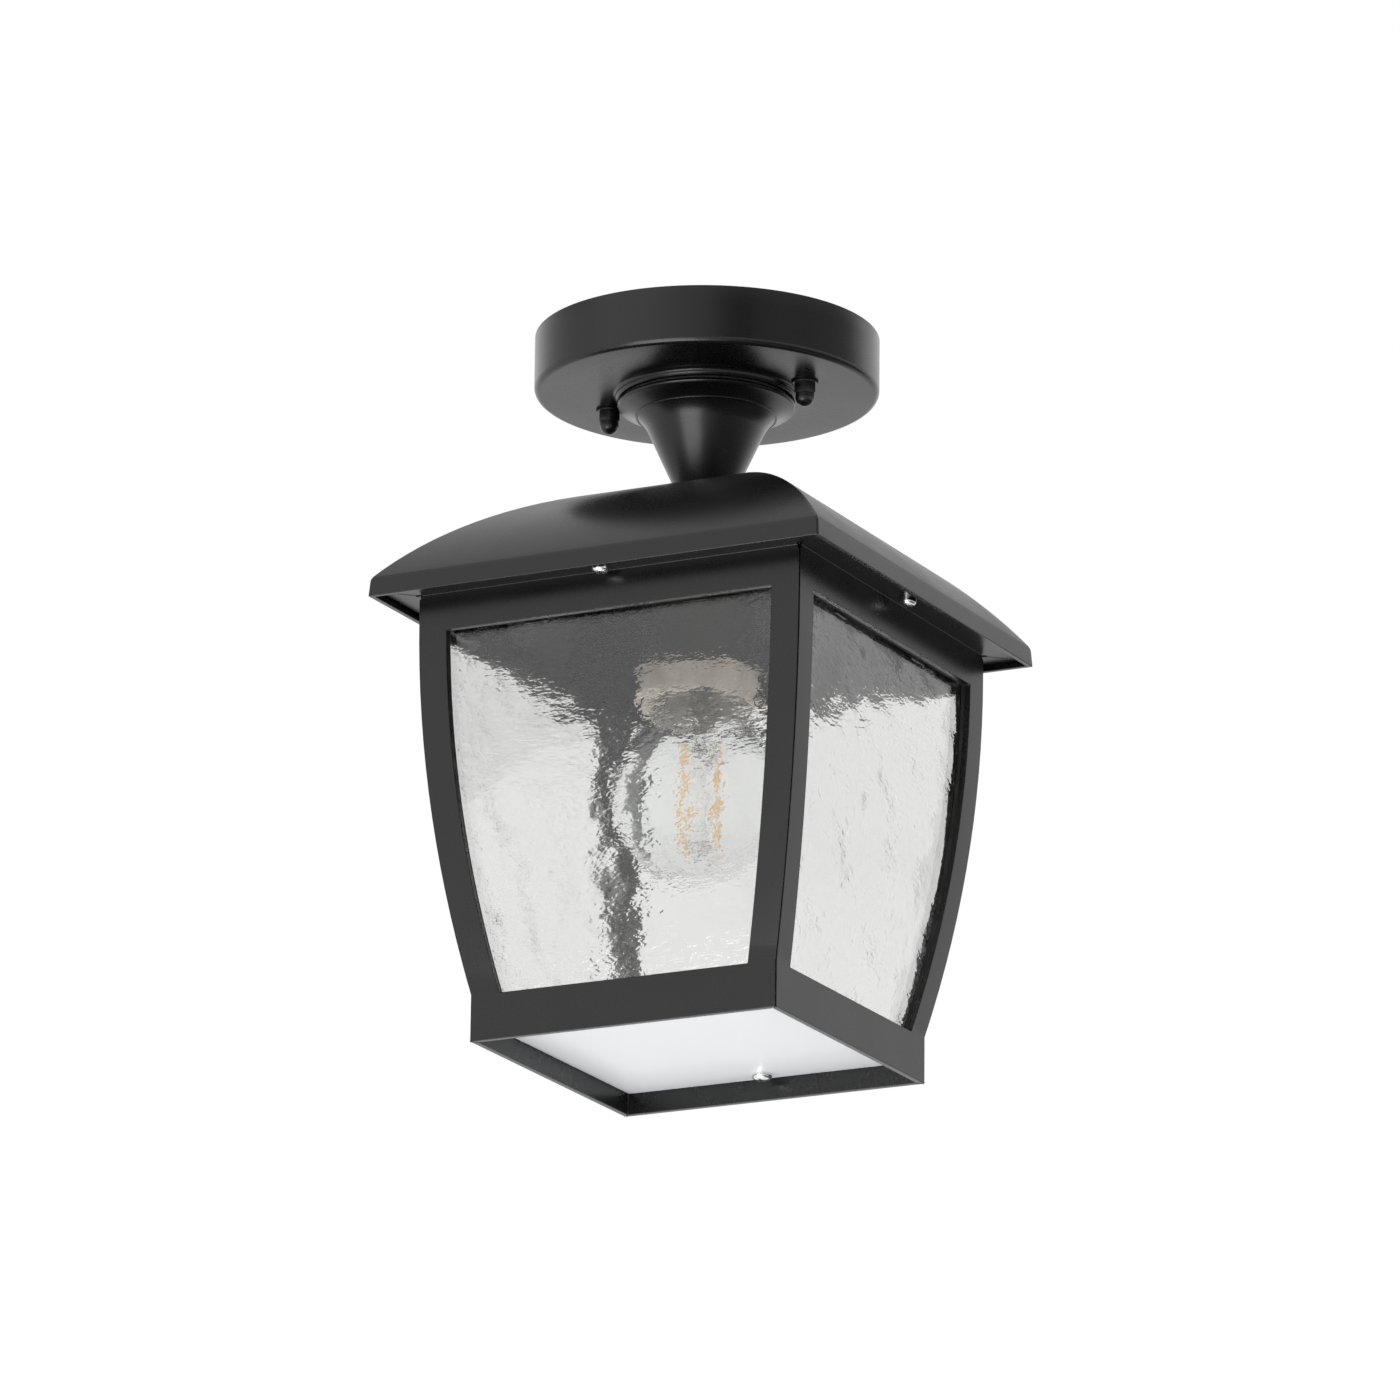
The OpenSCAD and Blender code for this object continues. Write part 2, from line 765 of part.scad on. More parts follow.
module frame_profile() {
  difference() {
    inside_face(0, band_z, flange_z);
    inside_face(frame_t, band_z - over, flange_z + over);
  }
  square_from(body_x - frame_t, soffit_z, flange_x, flange_z);
  square_from(ledge_x, ledge_z, inner_x + frame_t / 2, ledge_top);
}

// Area in x and height that a window takes, grown by a margin past its stiles
module window_area(grow, low, high) {
  intersection() {
    square_from(-body_x, low, body_x, high);
    intersection_for(s = [-1, 1]) translate([s * (bow_x - stile_w + grow), bow_z])
      circle(bow_r, $fn = big_fn);
  }
}

// What the rounding takes off a frame's lower corner, seen from the front
module lower_corner() {
  x = band_x - seam_y + corner_over - corner_r;
  z = band_z - corner_over + corner_r;
  difference() {
    square_from(x, band_z - over, x + corner_r + over, z);
    translate([x, z]) circle(corner_r);
  }
}

module mitre_wedge() {
  far = roof_w;
  translate([0, 0, band_z - over]) linear_extrude(height = flange_z - band_z + 2 * over)
    polygon([[0, -seam_y], [far, -far - seam_y], [-far, -far - seam_y]]);
}

module side_frame(i, has_lug) {
  color(black) on_side(i) difference() {
    union() {
      intersection() {
        difference() {
          along_side(2 * roof_w) frame_profile();
          through_side() window_area(0, window_low, window_top);
          through_side() {
            lower_corner();
            mirror([1, 0]) lower_corner();
          }
        }
        mitre_wedge();
      }
      along_side(2 * rib_x) square_from(ledge_x, ledge_z, inner_x + frame_t / 2, rib_top);
      for (s = [-1, 1]) translate([s * (rib_x + lip_x0) / 2, 0, 0]) along_side(rib_x - lip_x0)
        square_from(lip_back - lip_w, ledge_z, lip_back, window_low - face_gap);
      for (s = [-1, 1]) translate([s * clip_x, -clip_face_y, clip_z]) rotate([90, 0, 0])
        cylinder(h = clip_in - frame_t / 2, r = clip_boss_r);
      if (has_lug) translate([0, -opal_screw_y, ledge_z]) cylinder(h = rib_top - ledge_z, r = lug_r);
    }
    translate([0, -screw_y, soffit_z - over]) cylinder(h = flange_t + 2 * over, r = m3_r + hole_gap);
    for (s = [-1, 1]) {
      translate([s * clip_x, -clip_face_y + over, clip_z]) rotate([90, 0, 0])
        cylinder(h = clip_in - frame_t + over, r = clip_screw_r + hole_gap);
      translate([s * body_x, -body_x, soffit_z - relief_r])
        cylinder(h = flange_t + relief_r + over, r = relief_r);
      translate([s * plate_screw_x, -plate_screw_y, ledge_z - over]) sink_hole();
    }
    if (has_lug) translate([0, -opal_screw_y, ledge_z - over])
      cylinder(h = rib_top - ledge_z + 2 * over, r = lug_hole_r);
  }
}

module side_front() { side_frame(0, true); }
module side_right() { side_frame(1, false); }
module side_back() { side_frame(2, true); }
module side_left() { side_frame(3, false); }

// Corner plates on the ledges, with flush screws from below

plate_x = inner_x - 1;
plate_w = 5.6;
rib_x = plate_x - plate_l - rib_gap;
plate_screw_x = plate_x - plate_l + 4.5;
plate_screw_y = plate_x - plate_w / 2;
sink_h = 1.3;
sink_r = 2.7;

module sink_hole() {
  cylinder(h = ledge_t + plate_t + 3 * over, r = m3_r + hole_gap);
  cylinder(h = over + sink_h, r1 = sink_r + over + hole_gap, r2 = m3_r + hole_gap);
}

module corner_plates() {
  color(steel) for (i = [0 : 3]) on_side(i) translate([0, 0, ledge_top]) difference() {
    union() {
      translate([plate_x - plate_l, -plate_x, 0]) cube([plate_l, plate_w, plate_t]);
      translate([plate_x - plate_w, -plate_x, 0]) cube([plate_w, plate_l, plate_t]);
    }
    translate([plate_screw_x, -plate_screw_y, -over])
      cylinder(h = plate_t + 2 * over, r = m3_r + hole_gap);
    translate([plate_screw_y, -plate_screw_x, -over])
      cylinder(h = plate_t + 2 * over, r = m3_r + hole_gap);
  }
}

module corner_plate_screws() {
  color(steel) for (i = [0 : 3]) on_side(i) for (s = [-1, 1])
    translate([s * plate_screw_x, -plate_screw_y, ledge_z]) {
      cylinder(h = ledge_t + plate_t, r = m3_r);
      cylinder(h = sink_h, r1 = sink_r, r2 = m3_r);
    }
}

// Glass, its seals and its clips

module bowed_slab(i, depth, thickness) {
  on_side(i) intersection() {
    along_side(2 * roof_w) difference() {
      translate([bow_x, bow_z]) circle(bow_r - depth, $fn = big_fn);
      translate([bow_x, bow_z]) circle(bow_r - depth - thickness, $fn = big_fn);
      square_from(bow_x - bow_r - over, glass_bottom - 2 * bow_r, 0, bow_z + 2 * bow_r);
    }
    through_side() children();
  }
}

module pane(i) {
  color([0.8, 0.9, 0.95, 0.35]) bowed_slab(i, glass_in, glass_t)
    window_area(glass_lap, glass_bottom, glass_top);
}

module pane_gasket(i) {
  color([0.05, 0.05, 0.05]) bowed_slab(i, seal_in, seal_t) difference() {
    window_area(glass_lap, glass_bottom, glass_top);
    window_area(seal_back, window_low - seal_back, window_top + seal_back);
  }
}

module pane_front() { pane(0); }
module pane_right() { pane(1); }
module pane_back() { pane(2); }
module pane_left() { pane(3); }
module pane_gasket_front() { pane_gasket(0); }
module pane_gasket_right() { pane_gasket(1); }
module pane_gasket_back() { pane_gasket(2); }
module pane_gasket_left() { pane_gasket(3); }

module at_clips() {
  for (i = [0 : 3]) on_side(i) for (s = [-1, 1])
    translate([s * clip_x, -clip_face_y, clip_z]) children();
}

module pane_clips() {
  color(steel) at_clips() difference() {
    translate([-clip_w / 2, 0, clip_bottom - clip_z])
      cube([clip_w, clip_t, clip_z + clip_boss_r - clip_bottom]);
    translate([0, clip_t + over, 0]) rotate([90, 0, 0])
      cylinder(h = clip_t + 2 * over, r = clip_screw_r + hole_gap);
  }
}

module pane_clip_screws() {
  color(steel) at_clips() translate([0, clip_t, 0]) rotate([90, 0, 0])
    pan_screw(clip_screw_r, clip_t + glass_back - frame_t, clip_head_r, clip_head_h);
}

// Opal sheet and its screws

module rounded_square(x, r) {
  square_from(-x, -x + r, x, x - r);
  square_from(-x + r, -x, x - r, x);
  for (sx = [-1, 1]) for (sy = [-1, 1]) translate([sx * (x - r), sy * (x - r)]) circle(r);
}

module bottom_panel() {
  color([0.95, 0.95, 0.96]) difference() {
    translate([0, 0, opal_z]) linear_extrude(height = opal_t)
      rounded_square(inner_x - opal_gap, opal_corner_r);
    for (s = [-1, 1]) translate([0, s * opal_screw_y, opal_z - over])
      cylinder(h = opal_t + 2 * over, r = m3_r + hole_gap);
  }
}

module bottom_panel_screws() {
  color(steel) for (s = [-1, 1]) translate([0, s * opal_screw_y, opal_z])
    pan_screw(m3_r, opal_screw_l, opal_head_r, head_h);
}

// Lampholder on its strap

module holder_strap() {
  foot = 5;
  color(steel) difference() {
    rotate([90, 0, 0]) linear_extrude(height = strap_w, center = true) difference() {
      square_from(-strap_x, holder_z, strap_x, strap_z);
      square_from(-strap_x + strap_t, holder_z + strap_t, strap_x - strap_t, strap_z - strap_t);
      square_from(-foot, holder_z - over, foot, holder_z + strap_t + over);
    }
    translate([0, 0, strap_z - strap_t - over]) cylinder(h = strap_t + 2 * over, r = tube_hole_r);
    at_holder_screws() cylinder(h = holder_base_t + strap_t + over, r = m3_r + hole_gap);
  }
}

module at_holder_screws() {
  for (s = [-1, 1]) translate([s * holder_screw_x, 0, cavity_z]) children();
}

module holder_screws() {
  color(steel) at_holder_screws() pan_screw(m3_r, holder_base_t + strap_t + over, head_r, holder_head_h);
}

module lampholder() {
  skirt_top = rim_z + skirt_h;
  shoulder = skirt_r - holder_r;
  color([0.78, 0.7, 0.6]) difference() {
    rotate_extrude() difference() {
      polygon([
        [0, holder_z], [holder_r, holder_z], [holder_r, skirt_top],
        [skirt_r, skirt_top - shoulder], [skirt_r, rim_z], [0, rim_z]
      ]);
      square_from(0, rim_z - over, holder_bore_r, cavity_z);
      square_from(0, rim_z - over, skirt_r - skirt_wall, skirt_top - shoulder - skirt_wall);
    }
    at_holder_screws() translate([0, 0, -over])
      cylinder(h = holder_base_t + 2 * over, r = m3_r + hole_gap);
    for (s = [-1, 1]) translate([0, s * wire_hole_y, cavity_z - over])
      cylinder(h = holder_base_t + 2 * over, r = wire_r);
  }
}

module holder_shell() {
  color(brass) translate([0, 0, shell_z - shell_l]) ring(shell_r + shell_t, shell_r, shell_l);
}

module holder_contact() {
  bend = 3.5;
  flat = contact_drop * 2;
  upper = [[-bend - 3, 0], [-bend, 0], [flat - bend, -contact_drop], [3, -contact_drop]];
  lower = [for (p = reversed(upper)) p - [0, contact_t]];
  color(brass) translate([0, 0, cavity_z]) rotate([90, 0, 90])
    linear_extrude(height = contact_w, center = true) polygon(concat(upper, lower));
}

// Bulb

module bulb_tip() {
  color(brass) translate([0, 0, insulator_z]) cylinder(h = tip_h, r = tip_r);
}

module bulb_insulator() {
  cup = cap_in_r - touch;
  low = cap_z - cup_h;
  color([0.08, 0.08, 0.09]) rotate_extrude()
    polygon([[0, insulator_z], [tip_r, insulator_z], [cup, cap_z], [cup, low], [0, low]]);
}

module bulb_cap() {
  color(steel) translate([0, 0, cap_end_z]) ring(cap_r, cap_in_r, cap_l);
}

module bulb_driver() {
  board = [16, 1.2, 13];
  color([0.2, 0.4, 0.25]) translate([-board.x / 2, -board.y / 2, cap_z - cup_h - board.z]) cube(board);
}

// Globe, hollow shoulder and neck, all set back by the same depth
module bulb_outline(depth) {
  r = globe_r - depth;
  fillet = neck_fillet + depth;
  shoulder_z = globe_z + neck_dz * r / (r + fillet);
  translate([0, globe_z]) circle(r, $fn = 180);
  difference() {
    square_from(0, shoulder_z, neck_dx, globe_z + neck_dz);
    translate([neck_dx, globe_z + neck_dz]) circle(fillet, $fn = 180);
  }
  square_from(0, globe_z + neck_dz - touch, neck_r - depth, cap_end_z);
}

module bulb_glass() {
  color([0.85, 0.92, 0.95, 0.35]) rotate_extrude($fn = 120) intersection() {
    square_from(0, globe_z - globe_r, globe_r, cap_end_z + collar_h);
    difference() {
      union() {
        bulb_outline(0);
        square_from(0, cap_end_z - touch, collar_r, cap_end_z + collar_h);
      }
      bulb_outline(bulb_wall);
      square_from(0, cap_end_z - over, collar_r - bulb_wall, cap_end_z + collar_h + over);
    }
  }
}

module bulb_stem() {
  top = cap_end_z + collar_h;
  flare = collar_r - bulb_wall - touch;
  rod_top = globe_z + globe_r * 0.8;
  rod_end = filament_z - filament_l - lead_in;
  color([0.85, 0.92, 0.95, 0.4]) rotate_extrude() polygon([
    [0, top], [flare, top], [flare, top - 1], [tube_stem_r, top - flare], [tube_stem_r, rod_top + 3],
    [rod_r, rod_top], [rod_r, rod_end], [0, rod_end]
  ]);
}

module at_filaments() {
  for (i = [0 : filament_n - 1]) rotate([0, 0, bulb_turn + i * 360 / filament_n]) children();
}

module bulb_filaments() {
  color([0.95, 0.65, 0.25]) at_filaments() translate([filament_x, 0, filament_z - filament_l])
    cylinder(h = filament_l, r = filament_r);
}

module bulb_leads() {
  hub_r = rod_r + 0.7;
  hub_h = 1.6;
  hub_in = hub_r - lead_r;
  color(steel) for (z = [filament_z - lead_in, filament_z - filament_l + lead_in]) {
    translate([0, 0, z - hub_h / 2]) ring(hub_r, rod_r + touch, hub_h);
    at_filaments() translate([hub_in, 0, z]) rotate([0, 90, 0])
      cylinder(h = filament_x - filament_r - touch - hub_in, r = lead_r);
  }
}

canopy();
mounting_bar();
studs();
stud_nuts();
cap_nuts();
cap_nut_washers();
terminal_block();
terminal_inserts();
terminal_screws();
terminal_block_screws();
earth_screw();
nipple();
nipple_nuts();
nipple_washers();
stem_gasket();
stem();
foot_gasket();
roof();
soffit_screws();
side_front();
side_right();
side_back();
side_left();
pane_gasket_front();
pane_gasket_right();
pane_gasket_back();
pane_gasket_left();
pane_front();
pane_right();
pane_back();
pane_left();
pane_clips();
pane_clip_screws();
corner_plates();
corner_plate_screws();
bottom_panel();
bottom_panel_screws();
holder_strap();
holder_screws();
lampholder();
holder_shell();
holder_contact();
bulb_cap();
bulb_insulator();
bulb_tip();
bulb_driver();
bulb_stem();
bulb_leads();
bulb_filaments();
bulb_glass();
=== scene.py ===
import math

import bmesh
import bpy
from mathutils import Matrix, Vector


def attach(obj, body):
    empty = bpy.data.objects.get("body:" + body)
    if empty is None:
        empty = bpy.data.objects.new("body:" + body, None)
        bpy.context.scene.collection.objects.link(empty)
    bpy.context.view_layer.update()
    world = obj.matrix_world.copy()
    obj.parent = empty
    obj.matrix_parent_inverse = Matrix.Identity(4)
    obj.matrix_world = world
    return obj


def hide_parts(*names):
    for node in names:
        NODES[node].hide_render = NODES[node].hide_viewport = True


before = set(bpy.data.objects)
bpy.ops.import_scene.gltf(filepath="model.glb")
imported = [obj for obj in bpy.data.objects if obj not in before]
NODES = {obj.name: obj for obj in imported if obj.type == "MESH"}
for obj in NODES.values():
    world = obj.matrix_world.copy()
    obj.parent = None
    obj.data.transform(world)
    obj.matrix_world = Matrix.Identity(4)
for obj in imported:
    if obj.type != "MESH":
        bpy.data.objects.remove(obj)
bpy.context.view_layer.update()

MM = 0.001
SIDES = ("front", "right", "back", "left")
BULB = ("bulb_cap", "bulb_insulator", "bulb_tip", "bulb_driver", "bulb_stem", "bulb_leads",
        "bulb_filaments", "bulb_glass")
COVER = ("bottom_panel", "bottom_panel_screws")


def body_of(node):
    if node in BULB:
        return "bulb"
    return "bottom_cover" if node in COVER else "fixture"


# Sizes of the part in millimetres, as the part's source has them: R is a radius, Z a height

CANOPY_R, CANOPY_WALL, CANOPY_EDGE = 60.0, 1.5, 2.2
FLOOR_Z, SEAT_Z, LIP_Z, FOOT_Z, BOSS_Z = -20.5, -22.4, -23.2, -54.3, -55.3
STRAP_Z, STRAP_T, HOLDER_Z, RIM_Z, CAVITY_Z = -61.3, 1.5, -83.3, -134.0, -88.0
TUBE_HOLE_R, STUD_X, STUD_HOLE_R, STUD_NUT_Z = 5.1, 38.0, 2.1, -4.6
CAP_WASHER_T, TUBE_WASHER_T = 0.9, 1.0
BOW_X, BOW_R, BOW_Z, KINK_Z = -514.4, 587.0, -112.134, -243.134
STILE_W, GLASS_LAP, GLASS_IN, GLASS_T = 10.8, 3.0, 3.8, 3.0
GLASS_LOW, GLASS_TOP = KINK_Z - GLASS_LAP, -114.334
SOFFIT_Z, SOFFIT_SCREW_Y = -104.134, 78.0
OPAL_Z, OPAL_SCREW_Y = -252.134, 48.34
CLIP_FACE, CLIP_T, CLIP_X, CLIP_Z = 65.7, 0.8, 30.0, -109.634
HOLDER_R, SKIRT_R, SKIRT_H, SKIRT_WALL = 18.0, 21.0, 19.0, 2.6
HOLDER_HOLE_AT, HOLDER_SCREW_R, HOLDER_WIRE_R = 9.0, 1.6, 1.4
SHELL_R, SHELL_T, SHELL_Z, SHELL_L = 13.6, 0.5, -89.5, 25.0
CAP_R, CAP_IN_R, CAP_Z, CAP_L = 13.2, 12.7, -95.0, 22.0
TIP_Z, INSULATOR_Z, TIP_R = -90.0, -91.0, 4.5
GLOBE_R, GLOBE_Z, NECK_R, NECK_FILLET, BULB_WALL = 30.0, -166.0, 13.4, 40.0, 0.9
FILAMENT_X, FILAMENT_L, FILAMENT_R, FILAMENT_Z, BULB_TURN = 7.5, 36.0, 0.8, -148.0, -18.0

# Sizes that only the looks have, in millimetres

# Above this height the lampholder is coloured near black as painted shade, for the shade inside the
# roof
SHADE_LINE_H = 11.5            # how far the tan glaze reaches above the skirt's rim
FILAMENT_COAT = 0.2     # thickness of the amber coat round a filament
THREAD_PITCH, THREAD_DEPTH, THREAD_FADE = 3.6, 0.9, 1.2
FIT = 0.05              # gap between pieces that sit in one another
MERGE = 0.001           # points nearer than this become one
DRILL_SIDES = 24


# Node trees

class Wire:
    """An output socket that takes part in sums, each of which adds a Math node"""

    def __init__(self, graph, node, socket):
        self.graph, self.node, self.socket = graph, node, socket

    def out(self, name):
        return Wire(self.graph, self.node, self.node.outputs[name])

    def __add__(self, other):
        return self.graph.math("ADD", self, other)

    def __sub__(self, other):
        return self.graph.math("SUBTRACT", self, other)

    def __mul__(self, other):
        return self.graph.math("MULTIPLY", self, other)

    def __truediv__(self, other):
        return self.graph.math("DIVIDE", self, other)

    def __pow__(self, other):
        return self.graph.math("POWER", self, other)

    def __gt__(self, other):
        return self.graph.math("GREATER_THAN", self, other)

    def __rsub__(self, other):
        return self.graph.math("SUBTRACT", other, self)

    def __neg__(self):
        return self.graph.math("MULTIPLY", self, -1)

    __radd__ = __add__


class Graph:
    """A node tree that is built by calls"""

    def __init__(self, tree):
        self.tree = tree
        tree.nodes.clear()

    def add(self, kind, values=None, out=0):
        """Adds a node of some type; names in small letters are settings, the others sockets"""
        node = self.tree.nodes.new(kind)
        for name, value in (values or {}).items():
            if isinstance(name, str) and name.islower():
                setattr(node, name, value)
            else:
                self.feed(node.inputs[name], value)
        return Wire(self, node, node.outputs[out] if node.outputs else None)

    def feed(self, socket, value):
        """Gives a socket its value, its link or a list of links"""
        for one in value if isinstance(value, list) else [value]:
            if isinstance(one, Wire):
                self.tree.links.new(one.socket, socket)
            else:
                socket.default_value = one

    def math(self, operation, *values):
        sockets = dict(enumerate(values))
        return self.add("ShaderNodeMath", {"operation": operation, **sockets})

    def vector(self, operation, first, second, out="Vector"):
        values = {"operation": operation, 0: first, 1: second}
        return self.add("ShaderNodeVectorMath", values, out)

    def mix(self, share, first, second):
        """Colour between two others"""
        values = {"data_type": "RGBA", 0: share, 6: shade(first), 7: shade(second)}
        return self.add("ShaderNodeMix", values, 2)

    def step(self, value, low, high, start=0.0, end=1.0):
        """Smooth step from start to end while value goes from low to high"""
        return self.add("ShaderNodeMapRange", {
            "interpolation_type": "SMOOTHSTEP", 0: value, 1: low, 2: high, 3: start, 4: end})

    def xyz(self, vector):
        parts = self.add("ShaderNodeSeparateXYZ", {0: vector})
        return parts, parts.out("Y"), parts.out("Z")

    def join(self, x, y, z):
        return self.add("ShaderNodeCombineXYZ", {0: x, 1: y, 2: z})


def shade(colour):
    return colour if isinstance(colour, Wire) or len(colour) == 4 else (*colour, 1)


# Finishes

class Finish(Graph):
    """A material around one principled shader"""

    def __init__(self, name, **constants):
        self.material = bpy.data.materials.new(name)
        self.material.use_nodes = True
        super().__init__(self.material.node_tree)
        self.shader = self.add("ShaderNodeBsdfPrincipled")
        self.output = self.add("ShaderNodeOutputMaterial", {"Surface": self.shader})
        for name, value in constants.items():
            self.set(name.replace("_", " ").title().replace("Ior", "IOR"), value)
        self.place = self.add("ShaderNodeTexCoord", out="Object")

    def set(self, name, value):
        self.feed(self.shader.node.inputs[name], value)

    def coat(self, colour, roughness, normal):
        """Sets what every finish has and gives back the material"""
        self.set("Base Color", colour)
        self.set("Roughness", roughness)
        self.set("Normal", normal)
        return self.material

    def blend(self, share, other):
        """Shows another shader by some share, in place of the principled one"""
        both = self.add("ShaderNodeMixShader", {0: share, 1: self.shader, 2: other})
        self.tree.links.new(both.socket, self.output.node.inputs["Surface"])

    def stretched(self, x, y, z):
        return self.vector("MULTIPLY", self.place, (x, y, z))

    def noise(self, size, detail=2.0, place=None, distortion=0.0):
        """Noise between 0 and 1 whose features are about one size in millimetres"""
        return self.add("ShaderNodeTexNoise", {
            "Vector": place or self.place, "Scale": 1 / (size * MM), "Detail": detail,
            "Distortion": distortion})

    def cells(self, size, feature="F1", out="Distance"):
        values = {"feature": feature, "Vector": self.place, "Scale": 1 / (size * MM)}
        return self.add("ShaderNodeTexVoronoi", values, out)

    def bump(self, height, depth, below=None):
        """Relief of some depth in millimetres, for a height between 0 and 1"""
        sockets = {"Height": height, "Strength": 1.0, "Distance": depth * MM}
        if below:
            sockets["Normal"] = below
        return self.add("ShaderNodeBump", sockets)

    def specks(self, size, share, width):
        """Small dots of some width, on a share of the cells"""
        dots = self.cells(size)
        chosen = self.xyz(dots.out("Color"))[0]
        return self.step(dots, width, width * 0.6) * self.step(chosen, 1 - share, 1 - share * 0.8)


def black_coat(name="black_coat", base=(0.0065, 0.0065, 0.0067), gloss=0.28):
    """Satin powder coat with a faint orange peel, dust and slightly varying gloss"""
    f = Finish(name, ior=1.46)
    cloud = f.noise(26, 3)
    fine = f.noise(1.5, 2)
    dust = f.specks(9, 0.07, 0.045)
    tone = f.mix(cloud, [c * 0.75 for c in base], [c * 1.3 for c in base])
    return f.coat(
        f.mix(dust, tone, (0.2, 0.19, 0.18)),
        gloss + (cloud - 0.5) * 0.1 + (fine - 0.5) * 0.04,
        f.bump(f.noise(0.45, 1), 0.0002, f.bump(f.noise(2.6, 1), 0.0018)))


def plated_steel():
    """Zinc plate: small spangles, faint rolling streaks and a few dull patches"""
    f = Finish("zinc_steel", metallic=1.0)
    spangle = f.cells(1.6, out="Color")
    grain = f.xyz(spangle)[0]
    streak = f.noise(0.6, 3, f.stretched(0.08, 1, 1))
    dull = f.step(f.noise(9, 4), 0.5, 0.7)
    return f.coat(
        f.mix(grain * 0.5 + dull * 0.4, (0.66, 0.67, 0.69), (0.5, 0.52, 0.55)),
        0.26 + grain * 0.08 + dull * 0.16 + (streak - 0.5) * 0.12,
        f.bump(streak, 0.003))


def bright_steel():
    """Bright screws: fine scratches and duller patches"""
    f = Finish("bright_screws", metallic=1.0)
    scratch = f.noise(0.25, 3, f.stretched(0.1, 1, 1))
    patch = f.noise(2.5, 2)
    return f.coat(
        f.mix(patch, (0.93, 0.93, 0.94), (0.76, 0.76, 0.77)),
        0.13 + patch * 0.12 + (scratch - 0.5) * 0.1,
        f.bump(scratch, 0.004))


def brass():
    """Turned brass: tool rings round the axis and a little brown tarnish"""
    f = Finish("brass_parts", metallic=1.0)
    rings = f.noise(0.35, 2, f.stretched(0.02, 0.02, 1))
    tarnish = f.step(f.noise(5, 4), 0.45, 0.75)
    return f.coat(
        f.mix(tarnish, (0.76, 0.57, 0.27), (0.42, 0.28, 0.12)),
        0.24 + tarnish * 0.22 + (rings - 0.5) * 0.1,
        f.bump(rings, 0.004))


def white_plastic():
    """Moulded plastic with a fine spark texture and faint flow marks"""
    f = Finish("white_plastic", ior=1.5)
    flow = f.noise(7, 3, f.stretched(1, 0.3, 1))
    return f.coat(
        f.mix(flow, (0.84, 0.83, 0.77), (0.76, 0.74, 0.67)),
        0.46 + (flow - 0.5) * 0.12,
        f.bump(f.noise(0.35, 2), 0.006))


def rubber():
    """Soft matt rubber with a dusty bloom"""
    f = Finish("black_rubber", ior=1.45)
    bloom = f.step(f.noise(6, 4), 0.4, 0.8)
    return f.coat(
        f.mix(bloom, (0.009, 0.009, 0.009), (0.03, 0.03, 0.031)),
        0.68 + bloom * 0.2,
        f.bump(f.noise(0.5, 2), 0.01))


def clear(name, tint, ior):
    """Clear glass that casts only a faint shadow, so that what is behind it stays lit"""
    f = Finish(name, ior=ior, transmission_weight=1.0)
    f.set("Base Color", (*tint, 1))
    passing = f.add("ShaderNodeBsdfTransparent", {"Color": (*[c ** 0.5 for c in tint], 1)})
    f.blend(f.add("ShaderNodeLightPath", out="Is Shadow Ray"), passing)
    return f


def rippled_glass():
    """Window glass with fine flat wavelets in patches, calmer in the right-hand sheet,
    with seeds and a slightly grey body"""
    f = clear("rippled_glass", (0.88, 0.885, 0.88), 1.55)
    tone = f.mix(f.noise(30, 3), (0.872, 0.874, 0.867), (0.89, 0.892, 0.885))
    patch = f.step(f.noise(14, 2, f.stretched(0.6, 0.6, 1)), 0.3, 0.7, 0.45, 1.0)
    patch = patch * f.step(f.xyz(f.place)[0], 55 * MM, 64 * MM, 1.0, 0.65)
    wavelet = f.noise(1.9, 1.5, f.stretched(0.5, 0.5, 1), 0.6)
    seeds = f.specks(5, 0.2, 0.06)
    fine = f.noise(0.75, 1, f.stretched(0.33, 0.33, 1), 0.4)
    ripple = f.bump(wavelet * patch, 0.17, f.bump(fine * patch, 0.06))
    return f.coat(tone, 0.0, f.bump(seeds, 0.08, ripple))


def bulb_clear():
    """Blown glass with very faint waves"""
    f = clear("bulb_clear", (0.975, 0.98, 0.98), 1.45)
    wave = f.noise(9, 2)
    tone = f.mix(wave, (0.97, 0.975, 0.975), (0.985, 0.99, 0.99))
    return f.coat(tone, 0.0, f.bump(wave, 0.02))


def opal_sheet():
    """White acrylic that glows a little with the light above it"""
    f = Finish("opal_sheet", ior=1.49, coat_weight=0.25, coat_roughness=0.12)
    cloud = f.noise(40, 2)
    mark = f.specks(11, 0.06, 0.03)
    tone = f.mix(cloud, (0.89, 0.9, 0.915), (0.92, 0.93, 0.94))
    f.blend(0.4, f.add("ShaderNodeBsdfTranslucent", {"Color": (0.89, 0.9, 0.92, 1)}))
    return f.coat(
        f.mix(mark, tone, (0.6, 0.61, 0.62)),
        0.3 + (cloud - 0.5) * 0.1,
        f.bump(f.noise(3, 1), 0.002))


def ceramic():
    """Tan glazed ceramic with speckles and an uneven glaze; above the tan band the body is near
    black as painted shade
    """
    f = Finish("ceramic", ior=1.5, coat_roughness=0.15)
    cloud = f.noise(8, 3)
    dots = f.step(f.noise(0.5, 1), 0.68, 0.75)
    tone = f.mix(f.step(cloud, 0.3, 0.7), (0.54, 0.475, 0.39), (0.74, 0.68, 0.6))
    tone = f.mix(dots, tone, (0.3, 0.22, 0.16))
    # The tan glaze ends at this line; above it the colour is painted shade
    waver, blur, shade_line = 0.6, 0.3, RIM_Z + SHADE_LINE_H
    height = f.xyz(f.place)[2] + (cloud - 0.5) * (waver * MM)
    painted_shade = f.step(height, (shade_line - blur) * MM, (shade_line + blur) * MM)
    f.set("Coat Weight", 0.35 + (cloud - 0.5) * 0.2)
    return f.coat(
        # painted shade: near black above the tan band, standing in for the roof's shade
        f.mix(painted_shade, tone, (0.022, 0.02, 0.019)),
        0.36 + (cloud - 0.5) * 0.2,
        f.bump(cloud, 0.03))


